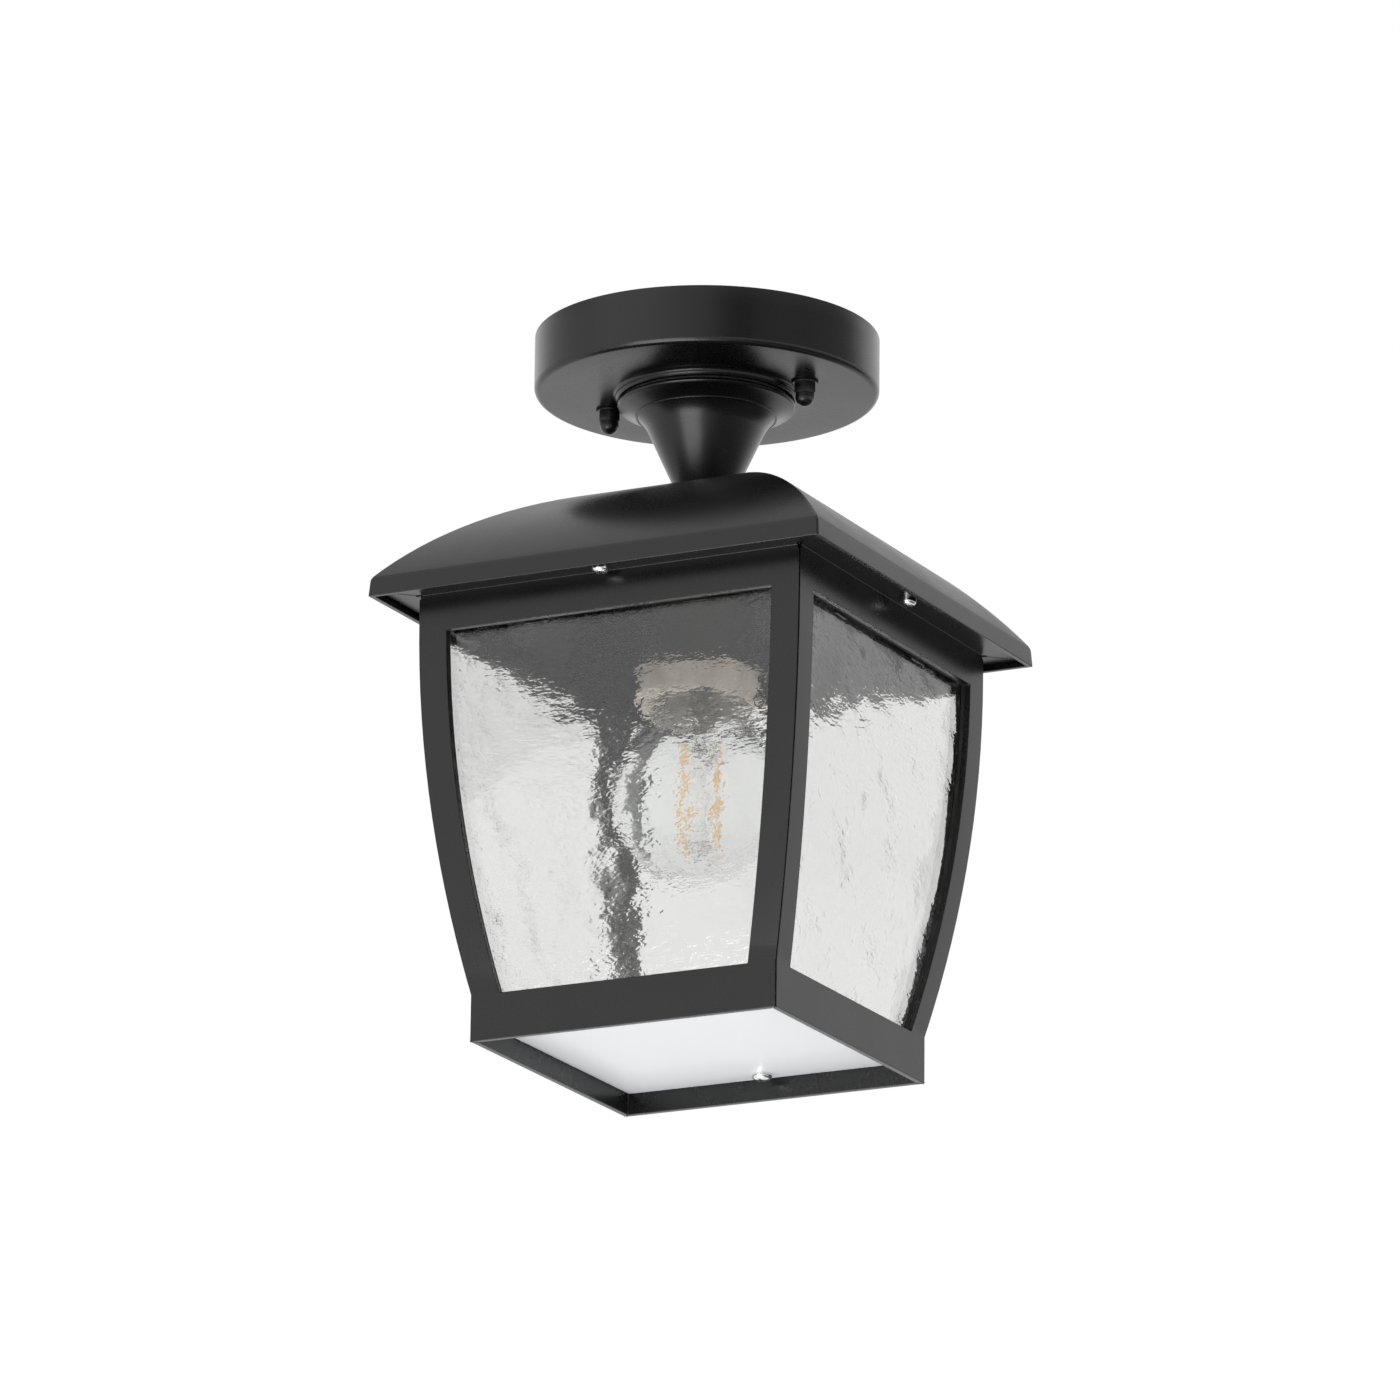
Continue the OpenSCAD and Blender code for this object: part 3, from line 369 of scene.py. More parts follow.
def nickel():
    """Nickel plate with fine drawing marks"""
    f = Finish("bulb_nickel", metallic=1.0)
    mark = f.noise(0.4, 3, f.stretched(1, 1, 0.15))
    cloud = f.noise(4, 2)
    return f.coat(
        f.mix(cloud, (0.72, 0.71, 0.69), (0.6, 0.59, 0.57)),
        0.2 + (mark - 0.5) * 0.14 + cloud * 0.06,
        f.bump(mark, 0.003))


def black_glass():
    """Vitrite: black glass, smooth with small pits"""
    f = Finish("black_glass", ior=1.55)
    pit = f.specks(0.9, 0.2, 0.12)
    cloud = f.noise(3, 2)
    return f.coat(
        f.mix(cloud, (0.012, 0.012, 0.015), (0.03, 0.028, 0.034)),
        0.12 + pit * 0.3 + cloud * 0.08,
        f.bump(1 - pit, 0.03))


def circuit_board():
    """Green lacquer over copper tracks"""
    f = Finish("circuit_board", ior=1.5)
    track = f.step(f.cells(2.2, "DISTANCE_TO_EDGE"), 0.1, 0.05)
    weave = f.noise(0.3, 1, f.stretched(1, 1, 0.4))
    return f.coat(
        f.mix(track, (0.03, 0.16, 0.08), (0.09, 0.3, 0.15)),
        0.32 + (weave - 0.5) * 0.15,
        f.bump(track, 0.03))


def filament_coat():
    """Amber phosphor over a row of small chips, with a faint painted amber glow"""
    # painted glow: the filaments give off a faint amber light of their own, not from any lamp
    f = Finish("filament_coat", ior=1.45, emission_strength=0.3)
    f.set("Emission Color", (1.0, 0.8, 0.55, 1))
    chip = 1.3 * MM
    height = f.xyz(f.place)[2]
    chips = f.math("SINE", height * (2 * math.pi / chip)) * 0.5 + 0.5
    grain = f.noise(0.3, 2)
    f.blend(0.45, f.add("ShaderNodeBsdfTranslucent", {"Color": (1.0, 0.86, 0.66, 1)}))
    return f.coat(
        f.mix(chips * 0.7 + grain * 0.3, (0.95, 0.7, 0.42), (1.0, 0.84, 0.62)),
        0.45 + grain * 0.2,
        f.bump(chips * 0.6 + grain * 0.4, 0.03))


FINISHES = {
    "black_coat": black_coat(),
    "black_nuts": black_coat("black_nuts", (0.011, 0.011, 0.0115), 0.3),
    "zinc_steel": plated_steel(),
    "bright_screws": bright_steel(),
    "brass_parts": brass(),
    "white_plastic": white_plastic(),
    "black_rubber": rubber(),
    "rippled_glass": rippled_glass(),
    "bulb_clear": bulb_clear(),
    "opal_sheet": opal_sheet(),
    "ceramic": ceramic(),
    "bulb_nickel": nickel(),
    "black_glass": black_glass(),
    "circuit_board": circuit_board(),
    "filament_coat": filament_coat(),
}


# Pieces

def settle(piece):
    """Applies what modifiers a piece has and leaves a plain mesh"""
    bpy.context.view_layer.update()
    evaluated = piece.evaluated_get(bpy.context.evaluated_depsgraph_get())
    mesh = bpy.data.meshes.new_from_object(evaluated)
    piece.modifiers.clear()
    piece.data = mesh


def new_piece(name, mesh):
    """Makes a mesh an object of the scene"""
    piece = bpy.data.objects.new(name, mesh)
    bpy.context.scene.collection.objects.link(piece)
    return piece


def hand_over(piece, node, slot):
    """Lets a finished piece stand in the stead of a node, in one finish"""
    piece.data.materials.clear()
    piece.data.materials.append(FINISHES[slot])
    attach(piece, body_of(node))
    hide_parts(node)


def shaded(mesh, limit=32):
    """Smooth faces with sharp edges where two faces meet steeply"""
    bm = bmesh.new()
    bm.from_mesh(mesh)
    for face in bm.faces:
        face.smooth = True
    for edge in bm.edges:
        edge.smooth = len(edge.link_faces) == 2 and edge.calc_face_angle(0) < math.radians(limit)
    bm.to_mesh(mesh)
    bm.free()
    return mesh


def merged_copy(node):
    """Copy of a node's mesh, merged, with flat areas made one face each"""
    bm = bmesh.new()
    bm.from_mesh(NODES[node].data)
    bmesh.ops.remove_doubles(bm, verts=bm.verts, dist=2 * MERGE * MM)
    bmesh.ops.dissolve_limit(bm, angle_limit=math.radians(0.25), verts=bm.verts, edges=bm.edges)
    mesh = bpy.data.meshes.new(node + "_finished")
    bm.to_mesh(mesh)
    bm.free()
    return mesh


def formed(node, slot, width, segments=2, hips=None):
    """A node's own shape with its edges rounded by some width in millimetres

    Where a width for hips is given, edges that stick out on a side or on top get that one.
    """
    corner, underside = math.radians(30), -0.2
    mesh = merged_copy(node)
    widest = hips or width
    bm = bmesh.new()
    bm.from_mesh(mesh)
    weight = bm.edges.layers.float.new("bevel_weight_edge")
    for face in bm.faces:
        face.smooth = True
    for edge in bm.edges:
        if len(edge.link_faces) == 2 and edge.calc_face_angle(0) > corner:
            faces_up = all(face.normal.z > underside for face in edge.link_faces)
            sticks_out = edge.calc_face_angle_signed(0) > 0
            edge[weight] = 1.0 if faces_up and sticks_out else width / widest
    bm.to_mesh(mesh)
    bm.free()
    piece = new_piece(mesh.name, mesh)
    bevel = piece.modifiers.new("edges", "BEVEL")
    bevel.width = widest * MM
    bevel.segments = segments
    bevel.limit_method = "WEIGHT"
    bevel.use_clamp_overlap = False
    even = piece.modifiers.new("even shading", "WEIGHTED_NORMAL")
    even.keep_sharp = True
    settle(piece)
    hand_over(piece, node, slot)


def arc(x, z, r, start, end, count=8):
    """Points of an arc, from one angle in degrees to another"""
    angles = [math.radians(start + (end - start) * i / count) for i in range(count + 1)]
    return [(x + r * math.cos(a), z + r * math.sin(a)) for a in angles]


def turned(name, profile, count=128, axis=(0, 0), wave=None):
    """Closed outline in millimetres, distance from the axis and height, turned into a mesh

    A wave adds to the distance, from the height and the angle.
    """
    bm = bmesh.new()
    rows = []
    for step in range(count):
        a = 2 * math.pi * step / count
        row = []
        for r, z in profile:
            if wave:
                r = r + wave(z, a)
            row.append(bm.verts.new(((axis[0] + r * math.cos(a)) * MM,
                                     (axis[1] + r * math.sin(a)) * MM, z * MM)))
        rows.append(row)
    for i, row in enumerate(rows):
        after = rows[(i + 1) % count]
        for j in range(len(profile)):
            k = (j + 1) % len(profile)
            bm.faces.new((row[j], after[j], after[k], row[k]))
    bmesh.ops.remove_doubles(bm, verts=bm.verts, dist=MERGE * MM)
    loose = [edge for edge in bm.edges if not edge.link_faces]
    bmesh.ops.delete(bm, geom=loose, context="EDGES")
    bmesh.ops.recalc_face_normals(bm, faces=bm.faces)
    mesh = bpy.data.meshes.new(name)
    bm.to_mesh(mesh)
    bm.free()
    return mesh


def turned_piece(node, slot, profile, count, limit=60, wave=None):
    """Puts a turned outline in the stead of a node"""
    mesh = shaded(turned(node + "_finished", profile, count, wave=wave), limit)
    hand_over(new_piece(mesh.name, mesh), node, slot)


def drilled_piece(node, slot, profile, count, low, high, holes):
    """As turned_piece, with upright holes between two heights, each a place and a radius"""
    mesh = turned(node + "_finished", profile, count)
    piece = new_piece(mesh.name, mesh)
    for x, y, radius in holes:
        drill = bpy.data.objects.new("drill", turned("drill", [
            (0, low), (radius, low), (radius, high), (0, high)], DRILL_SIDES, (x, y)))
        cut = piece.modifiers.new("hole", "BOOLEAN")
        cut.operation, cut.solver, cut.object = "DIFFERENCE", "EXACT", drill
    settle(piece)
    shaded(piece.data, 40)
    hand_over(piece, node, slot)


# Trees of repeated hardware

def new_tree(name, sizes):
    """A modifier's tree with a named input for each size"""
    tree = bpy.data.node_groups.new(name, "GeometryNodeTree")
    tree.is_modifier = True
    face = tree.interface
    face.new_socket("Geometry", in_out="INPUT", socket_type="NodeSocketGeometry")
    for size in sizes:
        kind = "NodeSocketInt" if size.startswith("Count") else "NodeSocketFloat"
        face.new_socket(size, in_out="INPUT", socket_type=kind)
    face.new_socket("Material", in_out="INPUT", socket_type="NodeSocketMaterial")
    face.new_socket("Geometry", in_out="OUTPUT", socket_type="NodeSocketGeometry")
    g = Graph(tree)
    g.inputs = g.add("NodeGroupInput")
    return g


def end_tree(g, geometry):
    """Closes a tree with real geometry in one material"""
    real = g.add("GeometryNodeRealizeInstances", {0: geometry})
    coated = g.add("GeometryNodeSetMaterial", {
        "Geometry": real, "Material": g.inputs.out("Material")})
    g.add("NodeGroupOutput", {0: coated})
    return g.tree


def at_spots(g, geometry):
    """Puts a geometry at each point of the input, with its Z along the point's direction"""
    way = g.add("GeometryNodeInputNamedAttribute", {"data_type": "FLOAT_VECTOR", "Name": "way"})
    turn = g.add("FunctionNodeAlignRotationToVector", {"axis": "Z", "Vector": way})
    return g.add("GeometryNodeInstanceOnPoints", {
        "Points": g.inputs, "Instance": geometry, "Rotation": turn})


def moved(g, geometry, z):
    return g.add("GeometryNodeTransform", {"Geometry": geometry, "Translation": g.join(0, 0, z)})


def reshaped(g, geometry, position):
    return g.add("GeometryNodeSetPosition", {"Geometry": geometry, "Position": position})


def cut_or_joined(g, operation, sockets):
    return g.add("GeometryNodeMeshBoolean", {
        "operation": operation, "solver": "EXACT", **sockets})


def screw_tree():
    """Pan head with a cross recess on a threaded shank; the head points along +Z from its seat"""
    sink = 0.0001                       # how far the shank runs into the head
    thread_share = 0.16                 # thread depth as a share of the shank's radius
    flat_power, round_power = -0.42, 0.62   # how a ball is squared into a pan head
    bar_length, bar_height = 1.25, 1.3  # the recess against the head's radius and height
    g = new_tree("screws", ("Shank radius", "Shank length", "Pitch", "Head radius", "Head height",
                            "Recess", "Count rings"))
    size = g.inputs.out
    here = g.add("GeometryNodeInputPosition")

    rod = g.add("GeometryNodeMeshCylinder", {
        "Vertices": 20, "Side Segments": size("Count rings"), "Radius": 1.0,
        "Depth": size("Shank length") + 2 * sink})
    x, y, z = g.xyz(here)
    turn = g.math("ARCTAN2", y, x) / (2 * math.pi)
    lead = g.math("FRACT", z / size("Pitch") + turn + 100)
    tooth = g.math("ABSOLUTE", lead * 2 - 1)
    radius = size("Shank radius") * (1 - tooth * thread_share)
    rod = reshaped(g, rod, g.join(x * radius, y * radius, z))
    rod = moved(g, rod, size("Shank length") * -0.5 + sink)

    ball = g.add("GeometryNodeMeshUVSphere", {"Segments": 32, "Rings": 24, "Radius": 1.0})
    flat = g.math("SQRT", x * x + y * y)
    spread = g.math("MAXIMUM", flat, 0.0001) ** flat_power * size("Head radius")
    rise = g.math("MAXIMUM", z, 0.0) ** round_power * size("Head height")
    head = reshaped(g, ball, g.join(x * spread, y * spread, rise))
    bar = g.add("GeometryNodeMeshCube", {
        "Size": g.join(size("Head radius") * bar_length, size("Recess"),
                       size("Head height") * bar_height)})
    bar = moved(g, bar, size("Head height"))
    other = g.add("GeometryNodeTransform", {"Geometry": bar, "Rotation": (0, 0, math.pi / 2)})
    cut = cut_or_joined(g, "DIFFERENCE", {"Mesh 1": head, "Mesh 2": [bar, other]})
    both = g.add("GeometryNodeJoinGeometry", {0: [cut, rod]})
    return end_tree(g, at_spots(g, both))


def nut_tree():
    """Hexagon nut with rounded corners and a bore; a dome closes it where it has one"""
    round_width, round_height = 1.04, 1.35  # the ball that rounds the corners, against the nut
    clear = 0.001                           # how far the bore runs past the nut
    g = new_tree("nuts", ("Across flats", "Height", "Bore", "Neck", "Dome radius"))
    size = g.inputs.out
    corner = size("Across flats") / math.sqrt(3)
    prism = g.add("GeometryNodeMeshCylinder", {
        "Vertices": 6, "Radius": corner, "Depth": size("Height")})
    prism = moved(g, prism, size("Height") * 0.5)
    ball = g.add("GeometryNodeMeshUVSphere", {"Segments": 36, "Rings": 18, "Radius": 1.0})
    ball = g.add("GeometryNodeTransform", {
        "Geometry": ball, "Translation": g.join(0, 0, size("Height") * 0.5),
        "Scale": g.join(corner * round_width, corner * round_width,
                        size("Height") * round_height)})
    nut = cut_or_joined(g, "INTERSECT", {"Mesh 2": [prism, ball]})
    neck = g.add("GeometryNodeMeshCylinder", {
        "Vertices": 48, "Radius": size("Dome radius"), "Depth": size("Neck")})
    neck = moved(g, neck, size("Neck") * 0.5)
    dome = g.add("GeometryNodeMeshUVSphere", {
        "Segments": 48, "Rings": 24, "Radius": size("Dome radius")})
    dome = moved(g, dome, size("Neck"))
    whole = cut_or_joined(g, "UNION", {"Mesh 2": [nut, neck, dome]})
    has_dome = size("Dome radius") > 0.00001
    body = g.add("GeometryNodeSwitch", {
        "input_type": "GEOMETRY", "Switch": has_dome, "False": nut, "True": whole})
    depth = g.math("MAXIMUM", size("Neck"), size("Height") + clear)
    bore = g.add("GeometryNodeMeshCylinder", {
        "Vertices": 32, "Radius": size("Bore"), "Depth": depth + clear})
    bore = moved(g, bore, (depth - clear) * 0.5)
    cut = cut_or_joined(g, "DIFFERENCE", {"Mesh 1": body, "Mesh 2": [bore]})
    return end_tree(g, at_spots(g, cut))


def ring_tree():
    """Flat ring with rounded edges: a grid bent round, whose section is a rounded rectangle"""
    g = new_tree("rings", ("Outer radius", "Inner radius", "Height", "Rounding"))
    size = g.inputs.out
    section, turns = 33, 97
    sheet = g.add("GeometryNodeMeshGrid", {
        "Size X": 1.0, "Size Y": 1.0, "Vertices X": turns, "Vertices Y": section})
    x, y, _ = g.xyz(g.add("GeometryNodeInputPosition"))
    about = (x + 0.5) * (2 * math.pi)
    along = (y + 0.5) * (-2 * math.pi)
    cosine, sine = g.math("COSINE", along), g.math("SINE", along)
    rounding = size("Rounding")
    width = (size("Outer radius") - size("Inner radius")) * 0.5
    rise = size("Height") * 0.5
    square = g.math("MAXIMUM", g.math("ABSOLUTE", cosine), g.math("ABSOLUTE", sine))

    def along_section(direction, half):
        """Goes along a straight side of the section, with a round corner at its end"""
        straight = g.math("SIGN", direction) * (half - rounding)
        return straight * g.math("ABSOLUTE", direction / square) + rounding * direction

    r = size("Inner radius") + width + along_section(cosine, width)
    lift = along_section(sine, rise) + rise
    bent = g.join(r * g.math("COSINE", about), r * g.math("SINE", about), lift)
    ring = reshaped(g, sheet, bent)
    ring = g.add("GeometryNodeMergeByDistance", {"Geometry": ring, "Distance": 0.000002})
    return end_tree(g, at_spots(g, ring))


def with_tree(node, slot, tree, sizes, spots):
    """Runs a tree on a set of points, each a place and a direction in millimetres"""
    mesh = bpy.data.meshes.new(node + "_finished")
    mesh.from_pydata([Vector(spot) * MM for spot, _ in spots], [], [])
    way = mesh.attributes.new("way", "FLOAT_VECTOR", "POINT")
    for item, (_, direction) in zip(way.data, spots):
        item.vector = direction
    grown(node, slot, tree, sizes, mesh)


def grown(node, slot, tree, sizes, start=None):
    """Runs a tree with its sizes, keeps the result as a plain mesh and hands it over"""
    name = node + "_finished"
    piece = new_piece(name, start or bpy.data.meshes.new(name))
    modifier = piece.modifiers.new("tree", "NODES")
    modifier.node_group = tree
    sizes = dict(sizes, Material=FINISHES[slot])
    for item in tree.interface.items_tree:
        if item.in_out == "INPUT" and item.name in sizes:
            modifier[item.identifier] = sizes[item.name]
    settle(piece)
    bm = bmesh.new()
    bm.from_mesh(piece.data)
    bmesh.ops.dissolve_degenerate(bm, dist=MERGE * MM, edges=bm.edges)
    bmesh.ops.recalc_face_normals(bm, faces=bm.faces)
    bm.to_mesh(piece.data)
    bm.free()
    shaded(piece.data, 35)
    hand_over(piece, node, slot)


def quarter(point, turn):
    """A point turned by quarter turns about the light's axis"""
    x, y, z = point
    for _ in range(turn):
        x, y = -y, x
    return (x, y, z)


# Canopy and stem

def canopy():
    """Pressed cup with a raised seat; the seat's hollow foot and its edge catch the light"""
    rim, foot, seat_r, shoulder = 0.3, 1.1, 31.8, 2.1
    edge_points = ((0.0, 0.12), (0.04, 0.24), (0.07, 0.29), (0.58, 0.97), (0.63, 1.01),
                   (0.78, 1.1), (1.1, 1.16), (1.5, 1.08))
    inner, edge, wall = CANOPY_R - CANOPY_WALL, CANOPY_EDGE, CANOPY_WALL
    foot_z = FLOOR_Z - foot
    outline = [(inner + rim, 0)]
    outline += arc(CANOPY_R - rim, -rim, rim, 90, 0, 4)
    outline += [(CANOPY_R, z) for z in (-6.0, -12.0)]
    outline += arc(CANOPY_R - edge, FLOOR_Z + edge, edge, 0, -90, 12)
    outline += [(r, FLOOR_Z) for r in (48.0, 42.0)]
    outline += arc(seat_r + foot, foot_z, foot, 90, 180, 8)
    outline += [(seat_r - x, foot_z - z) for x, z in edge_points]
    outline += [(r, SEAT_Z) for r in (seat_r - shoulder, 20.0, TUBE_HOLE_R)]
    outline += [(r, SEAT_Z + wall) for r in (TUBE_HOLE_R, seat_r - wall)]
    outline += [(seat_r - wall, FLOOR_Z + wall)]
    outline += arc(CANOPY_R - edge, FLOOR_Z + edge, edge - wall, -90, 0, 6)
    outline += [(inner, -rim)]
    drilled_piece("canopy", "black_coat", outline, 192, FLOOR_Z - 3, FLOOR_Z + 3,
                  [(side * STUD_X, 0, STUD_HOLE_R) for side in (-1, 1)])


def stem():
    """Cast trumpet: a thin lip, a bead a little below it, and a flare down to the foot"""
    lip_r, lip_t, lip_edge, flare_r, out, foot_r, wall = 31.0, 1.6, 0.4, 15.0, 2.9, 11.0, 3.0
    bead_x, bead_r, foot_edge, bore_l, mouth = 24.3, 0.45, 0.3, 8.0, 6.0
    lip_points = ((0.12, 0.92), (0.03, 0.84), (0.0, 0.76), (0.04, 0.66), (0.5, 0.04), (0.58, 0.0))
    edge_z = LIP_Z - lip_t - lip_edge
    flare_x = lip_r + out
    flare_z = edge_z - math.sqrt(flare_r ** 2 - out ** 2)
    reach = math.hypot(flare_x - foot_r, flare_z - FOOT_Z)
    slope = math.atan2(flare_x - foot_r, flare_z - FOOT_Z) - math.asin(flare_r / reach)
    first = math.degrees(math.acos(-out / flare_r))
    last = 180 - math.degrees(slope)
    outline = [(lip_r - 1.7, LIP_Z)]
    outline += [(lip_r - x, edge_z + z) for x, z in lip_points]
    bead_angle = math.degrees(math.acos((bead_x - flare_x) / flare_r))
    bead_z = flare_z + flare_r * math.sin(math.radians(bead_angle))
    half = math.degrees(bead_r / flare_r)
    outline += arc(flare_x, flare_z, flare_r, first + 2, bead_angle - half, 10)
    outline += arc(bead_x, bead_z, bead_r, bead_angle - 90, bead_angle - 270, 8)[1:-1]
    outline += arc(flare_x, flare_z, flare_r, bead_angle + half, last, 24)
    outline += arc(foot_r - foot_edge, FOOT_Z + foot_edge, foot_edge, -20, -90, 3)
    inner = flare_r + wall
    bore_z = FOOT_Z + bore_l
    touch_x = flare_x - inner * math.cos(slope)
    touch_z = flare_z + inner * math.sin(slope)
    outline += [(TUBE_HOLE_R, FOOT_Z), (TUBE_HOLE_R, bore_z)]
    outline += [(touch_x - (touch_z - bore_z) * math.tan(slope), bore_z)]
    open_r = lip_r - mouth
    open_angle = math.degrees(math.acos((open_r - flare_x) / inner))
    outline += arc(flare_x, flare_z, inner, last, open_angle, 14)
    outline += [(open_r, LIP_Z)]
    turned_piece("stem", "black_coat", outline, 160, limit=40)


canopy()
stem()

# Castings and pressed parts

for side in SIDES:
    formed("side_" + side, "black_coat", 0.25)
    formed("pane_gasket_" + side, "black_rubber", 0.2)
formed("roof", "black_coat", 0.35, 3, 0.8)
formed("mounting_bar", "zinc_steel", 0.2)
formed("holder_strap", "zinc_steel", 0.2)
formed("corner_plates", "zinc_steel", 0.15)
formed("pane_clips", "black_nuts", 0.12)
formed("terminal_block", "white_plastic", 0.35, 3)
formed("holder_contact", "brass_parts", 0.08)
formed("bottom_panel", "opal_sheet", 0.35, 3)
formed("bulb_driver", "circuit_board", 0.1)

# Screws, nuts and washers

SCREW, NUT, RING = screw_tree(), nut_tree(), ring_tree()
DOWN, UP = (0, 0, -1), (0, 0, 1)


def screws(node, slot, shank, length, pitch, head, height, recess, spots):
    rows_per_turn = 4
    with_tree(node, slot, SCREW, {
        "Shank radius": shank * MM, "Shank length": length * MM, "Pitch": pitch * MM,
        "Head radius": head * MM, "Head height": height * MM, "Recess": recess * MM,
        "Count rings": int(length / pitch * rows_per_turn)}, spots)


def nuts(node, slot, flats, height, bore, spots, neck=0.0, dome=0.0):
    with_tree(node, slot, NUT, {
        "Across flats": flats * MM, "Height": height * MM, "Bore": bore * MM,
        "Neck": neck * MM, "Dome radius": dome * MM}, spots)


def rings(node, slot, outer, inner, height, rounding, spots):
    with_tree(node, slot, RING, {
        "Outer radius": outer * MM, "Inner radius": inner * MM, "Height": height * MM,
        "Rounding": rounding * MM}, spots)


def on_studs(z, direction):
    return [((side * STUD_X, 0, z), direction) for side in (-1, 1)]


UPPER_WASHER_Z = SEAT_Z + CANOPY_WALL
LOWER_WASHER_Z = STRAP_Z - STRAP_T - TUBE_WASHER_T

screws("soffit_screws", "bright_screws", shank=1.5, length=8.0, pitch=0.5,
       head=3.0, height=2.5, recess=0.75,
       spots=[(quarter((0, -SOFFIT_SCREW_Y, SOFFIT_Z), i), DOWN) for i in range(4)])
screws("bottom_panel_screws", "bright_screws", shank=1.5, length=6.0, pitch=0.5,
       head=3.5, height=2.5, recess=0.85,
       spots=[((0, side * OPAL_SCREW_Y, OPAL_Z), DOWN) for side in (-1, 1)])
screws("pane_clip_screws", "black_nuts", shank=1.2, length=5.4, pitch=0.45,
       head=2.2, height=1.5, recess=0.55,
       spots=[(quarter((side * CLIP_X, -CLIP_FACE + CLIP_T, CLIP_Z), i), quarter((0, 1, 0), i))
              for i in range(4) for side in (-1, 1)])
screws("holder_screws", "zinc_steel", shank=1.5, length=7.2, pitch=0.5,
       head=2.8, height=1.8, recess=0.7,
       spots=[((side * HOLDER_HOLE_AT, 0, CAVITY_Z), DOWN) for side in (-1, 1)])
nuts("cap_nuts", "black_nuts", flats=7.0, height=3.5, bore=STUD_HOLE_R,
     neck=4.8, dome=3.25, spots=on_studs(FLOOR_Z - CAP_WASHER_T, DOWN))
nuts("stud_nuts", "zinc_steel", flats=7.0, height=3.2, bore=STUD_HOLE_R,
     spots=on_studs(STUD_NUT_Z, DOWN))
nuts("nipple_nuts", "brass_parts", flats=14.0, height=3.0, bore=TUBE_HOLE_R,
     spots=[((0, 0, UPPER_WASHER_Z + TUBE_WASHER_T), UP), ((0, 0, LOWER_WASHER_Z), DOWN)])
rings("cap_nut_washers", "black_nuts", outer=4.7, inner=STUD_HOLE_R, height=CAP_WASHER_T,
      rounding=0.2, spots=on_studs(FLOOR_Z - CAP_WASHER_T, UP))
rings("nipple_washers", "zinc_steel", outer=9.0, inner=TUBE_HOLE_R, height=TUBE_WASHER_T,
      rounding=0.2, spots=[((0, 0, UPPER_WASHER_Z), UP), ((0, 0, LOWER_WASHER_Z), UP)])
rings("stem_gasket", "black_rubber", outer=29.5, inner=25.0, height=0.8,
      rounding=0.25, spots=[((0, 0, LIP_Z), UP)])
rings("foot_gasket", "black_rubber", outer=10.0, inner=TUBE_HOLE_R, height=1.0,
      rounding=0.3, spots=[((0, 0, BOSS_Z), UP)])


# Windows

def pane_tree():
    """Bowed sheet between two depths behind the frame's face, with an uneven back"""
    ripple_share = 0.22         # small ripples against the broad swells
    ripple_scale = (2.6, 1, 3.4)
    across_scale = 0.8          # swells are a little wider than high
    margin = 0.93               # from here outwards the sheet gets flat, so that it seats
    g = new_tree("rippled panes", ("Bow radius", "Bow centre", "Bow height", "Low", "Top", "Stile",
                                   "Depth", "Thickness", "Unevenness", "Wave length", "Seed",
                                   "Turn", "Count across", "Count up"))
    size = g.inputs.out
    block = g.add("GeometryNodeMeshCube", {
        "Size": (2, 1, 1), "Vertices X": size("Count across"), "Vertices Y": 2,
        "Vertices Z": size("Count up")})
    x, y, z = g.xyz(g.add("GeometryNodeInputPosition"))
    height = size("Low") + (z + 0.5) * (size("Top") - size("Low"))
    drop = height - size("Bow height")
    outer = g.math("SQRT", size("Bow radius") * size("Bow radius") - drop * drop)
    half = size("Bow centre") - size("Stile") + outer
    across = x * half
    back = y + 0.5
    radius = size("Bow radius") - size("Depth") - back * size("Thickness")
    face = size("Bow centre") + g.math("SQRT", radius * radius - drop * drop)
    where = g.join(across / size("Wave length") * across_scale, size("Seed"),
                   height / size("Wave length"))
    swell = g.add("ShaderNodeTexNoise", {"Vector": where, "Scale": 1.0, "Detail": 1.0}) - 0.5
    small = g.vector("MULTIPLY", where, ripple_scale)
    ripple = g.add("ShaderNodeTexNoise", {"Vector": small, "Scale": 1.0, "Detail": 1.0}) - 0.5
    edge = g.math("MAXIMUM", g.math("ABSOLUTE", x), g.math("ABSOLUTE", z * 2))
    inside = g.step(edge, 1.0, margin)
    lift = (swell + ripple * ripple_share) * size("Unevenness") * back * inside
    placed = g.join(across, -face - lift, height)
    bent = reshaped(g, block, placed)
    turned_to = g.add("GeometryNodeTransform", {
        "Geometry": bent, "Rotation": g.join(0, 0, size("Turn"))})
    return end_tree(g, turned_to)


PANE = pane_tree()
for i, side in enumerate(SIDES):
    uneven = 0.9 if side == "right" else 1.1
    grown("pane_" + side, "rippled_glass", PANE, {
        "Bow radius": BOW_R * MM, "Bow centre": BOW_X * MM, "Bow height": BOW_Z * MM,
        "Low": GLASS_LOW * MM, "Top": GLASS_TOP * MM, "Stile": (STILE_W - GLASS_LAP) * MM,
        "Depth": GLASS_IN * MM, "Thickness": GLASS_T * MM, "Unevenness": uneven * MM,
        "Wave length": 16.0 * MM, "Seed": 3.7 + 5.0 * i, "Turn": math.pi / 2 * i,
        "Count across": 170, "Count up": 170})


# Lampholder and bulb

def thread(low, high):
    """Round screw thread, pressed inwards, that runs in and out at its ends"""
    def at(z, a):
        fade = max(0.0, min(1.0, (z - low) / THREAD_FADE, (high - z) / THREAD_FADE))
        lead = 2 * math.pi * z / THREAD_PITCH - a
        return -THREAD_DEPTH * fade * (0.5 + 0.5 * math.cos(lead))
    return at


def tube_outline(outer, inner, low, high, rows):
    """Section of a thin shell with many rows, so that a thread can be laid on it"""
    steps = [low + (high - low) * i / rows for i in range(rows + 1)]
    return [(outer, z) for z in steps] + [(inner, z) for z in reversed(steps)]


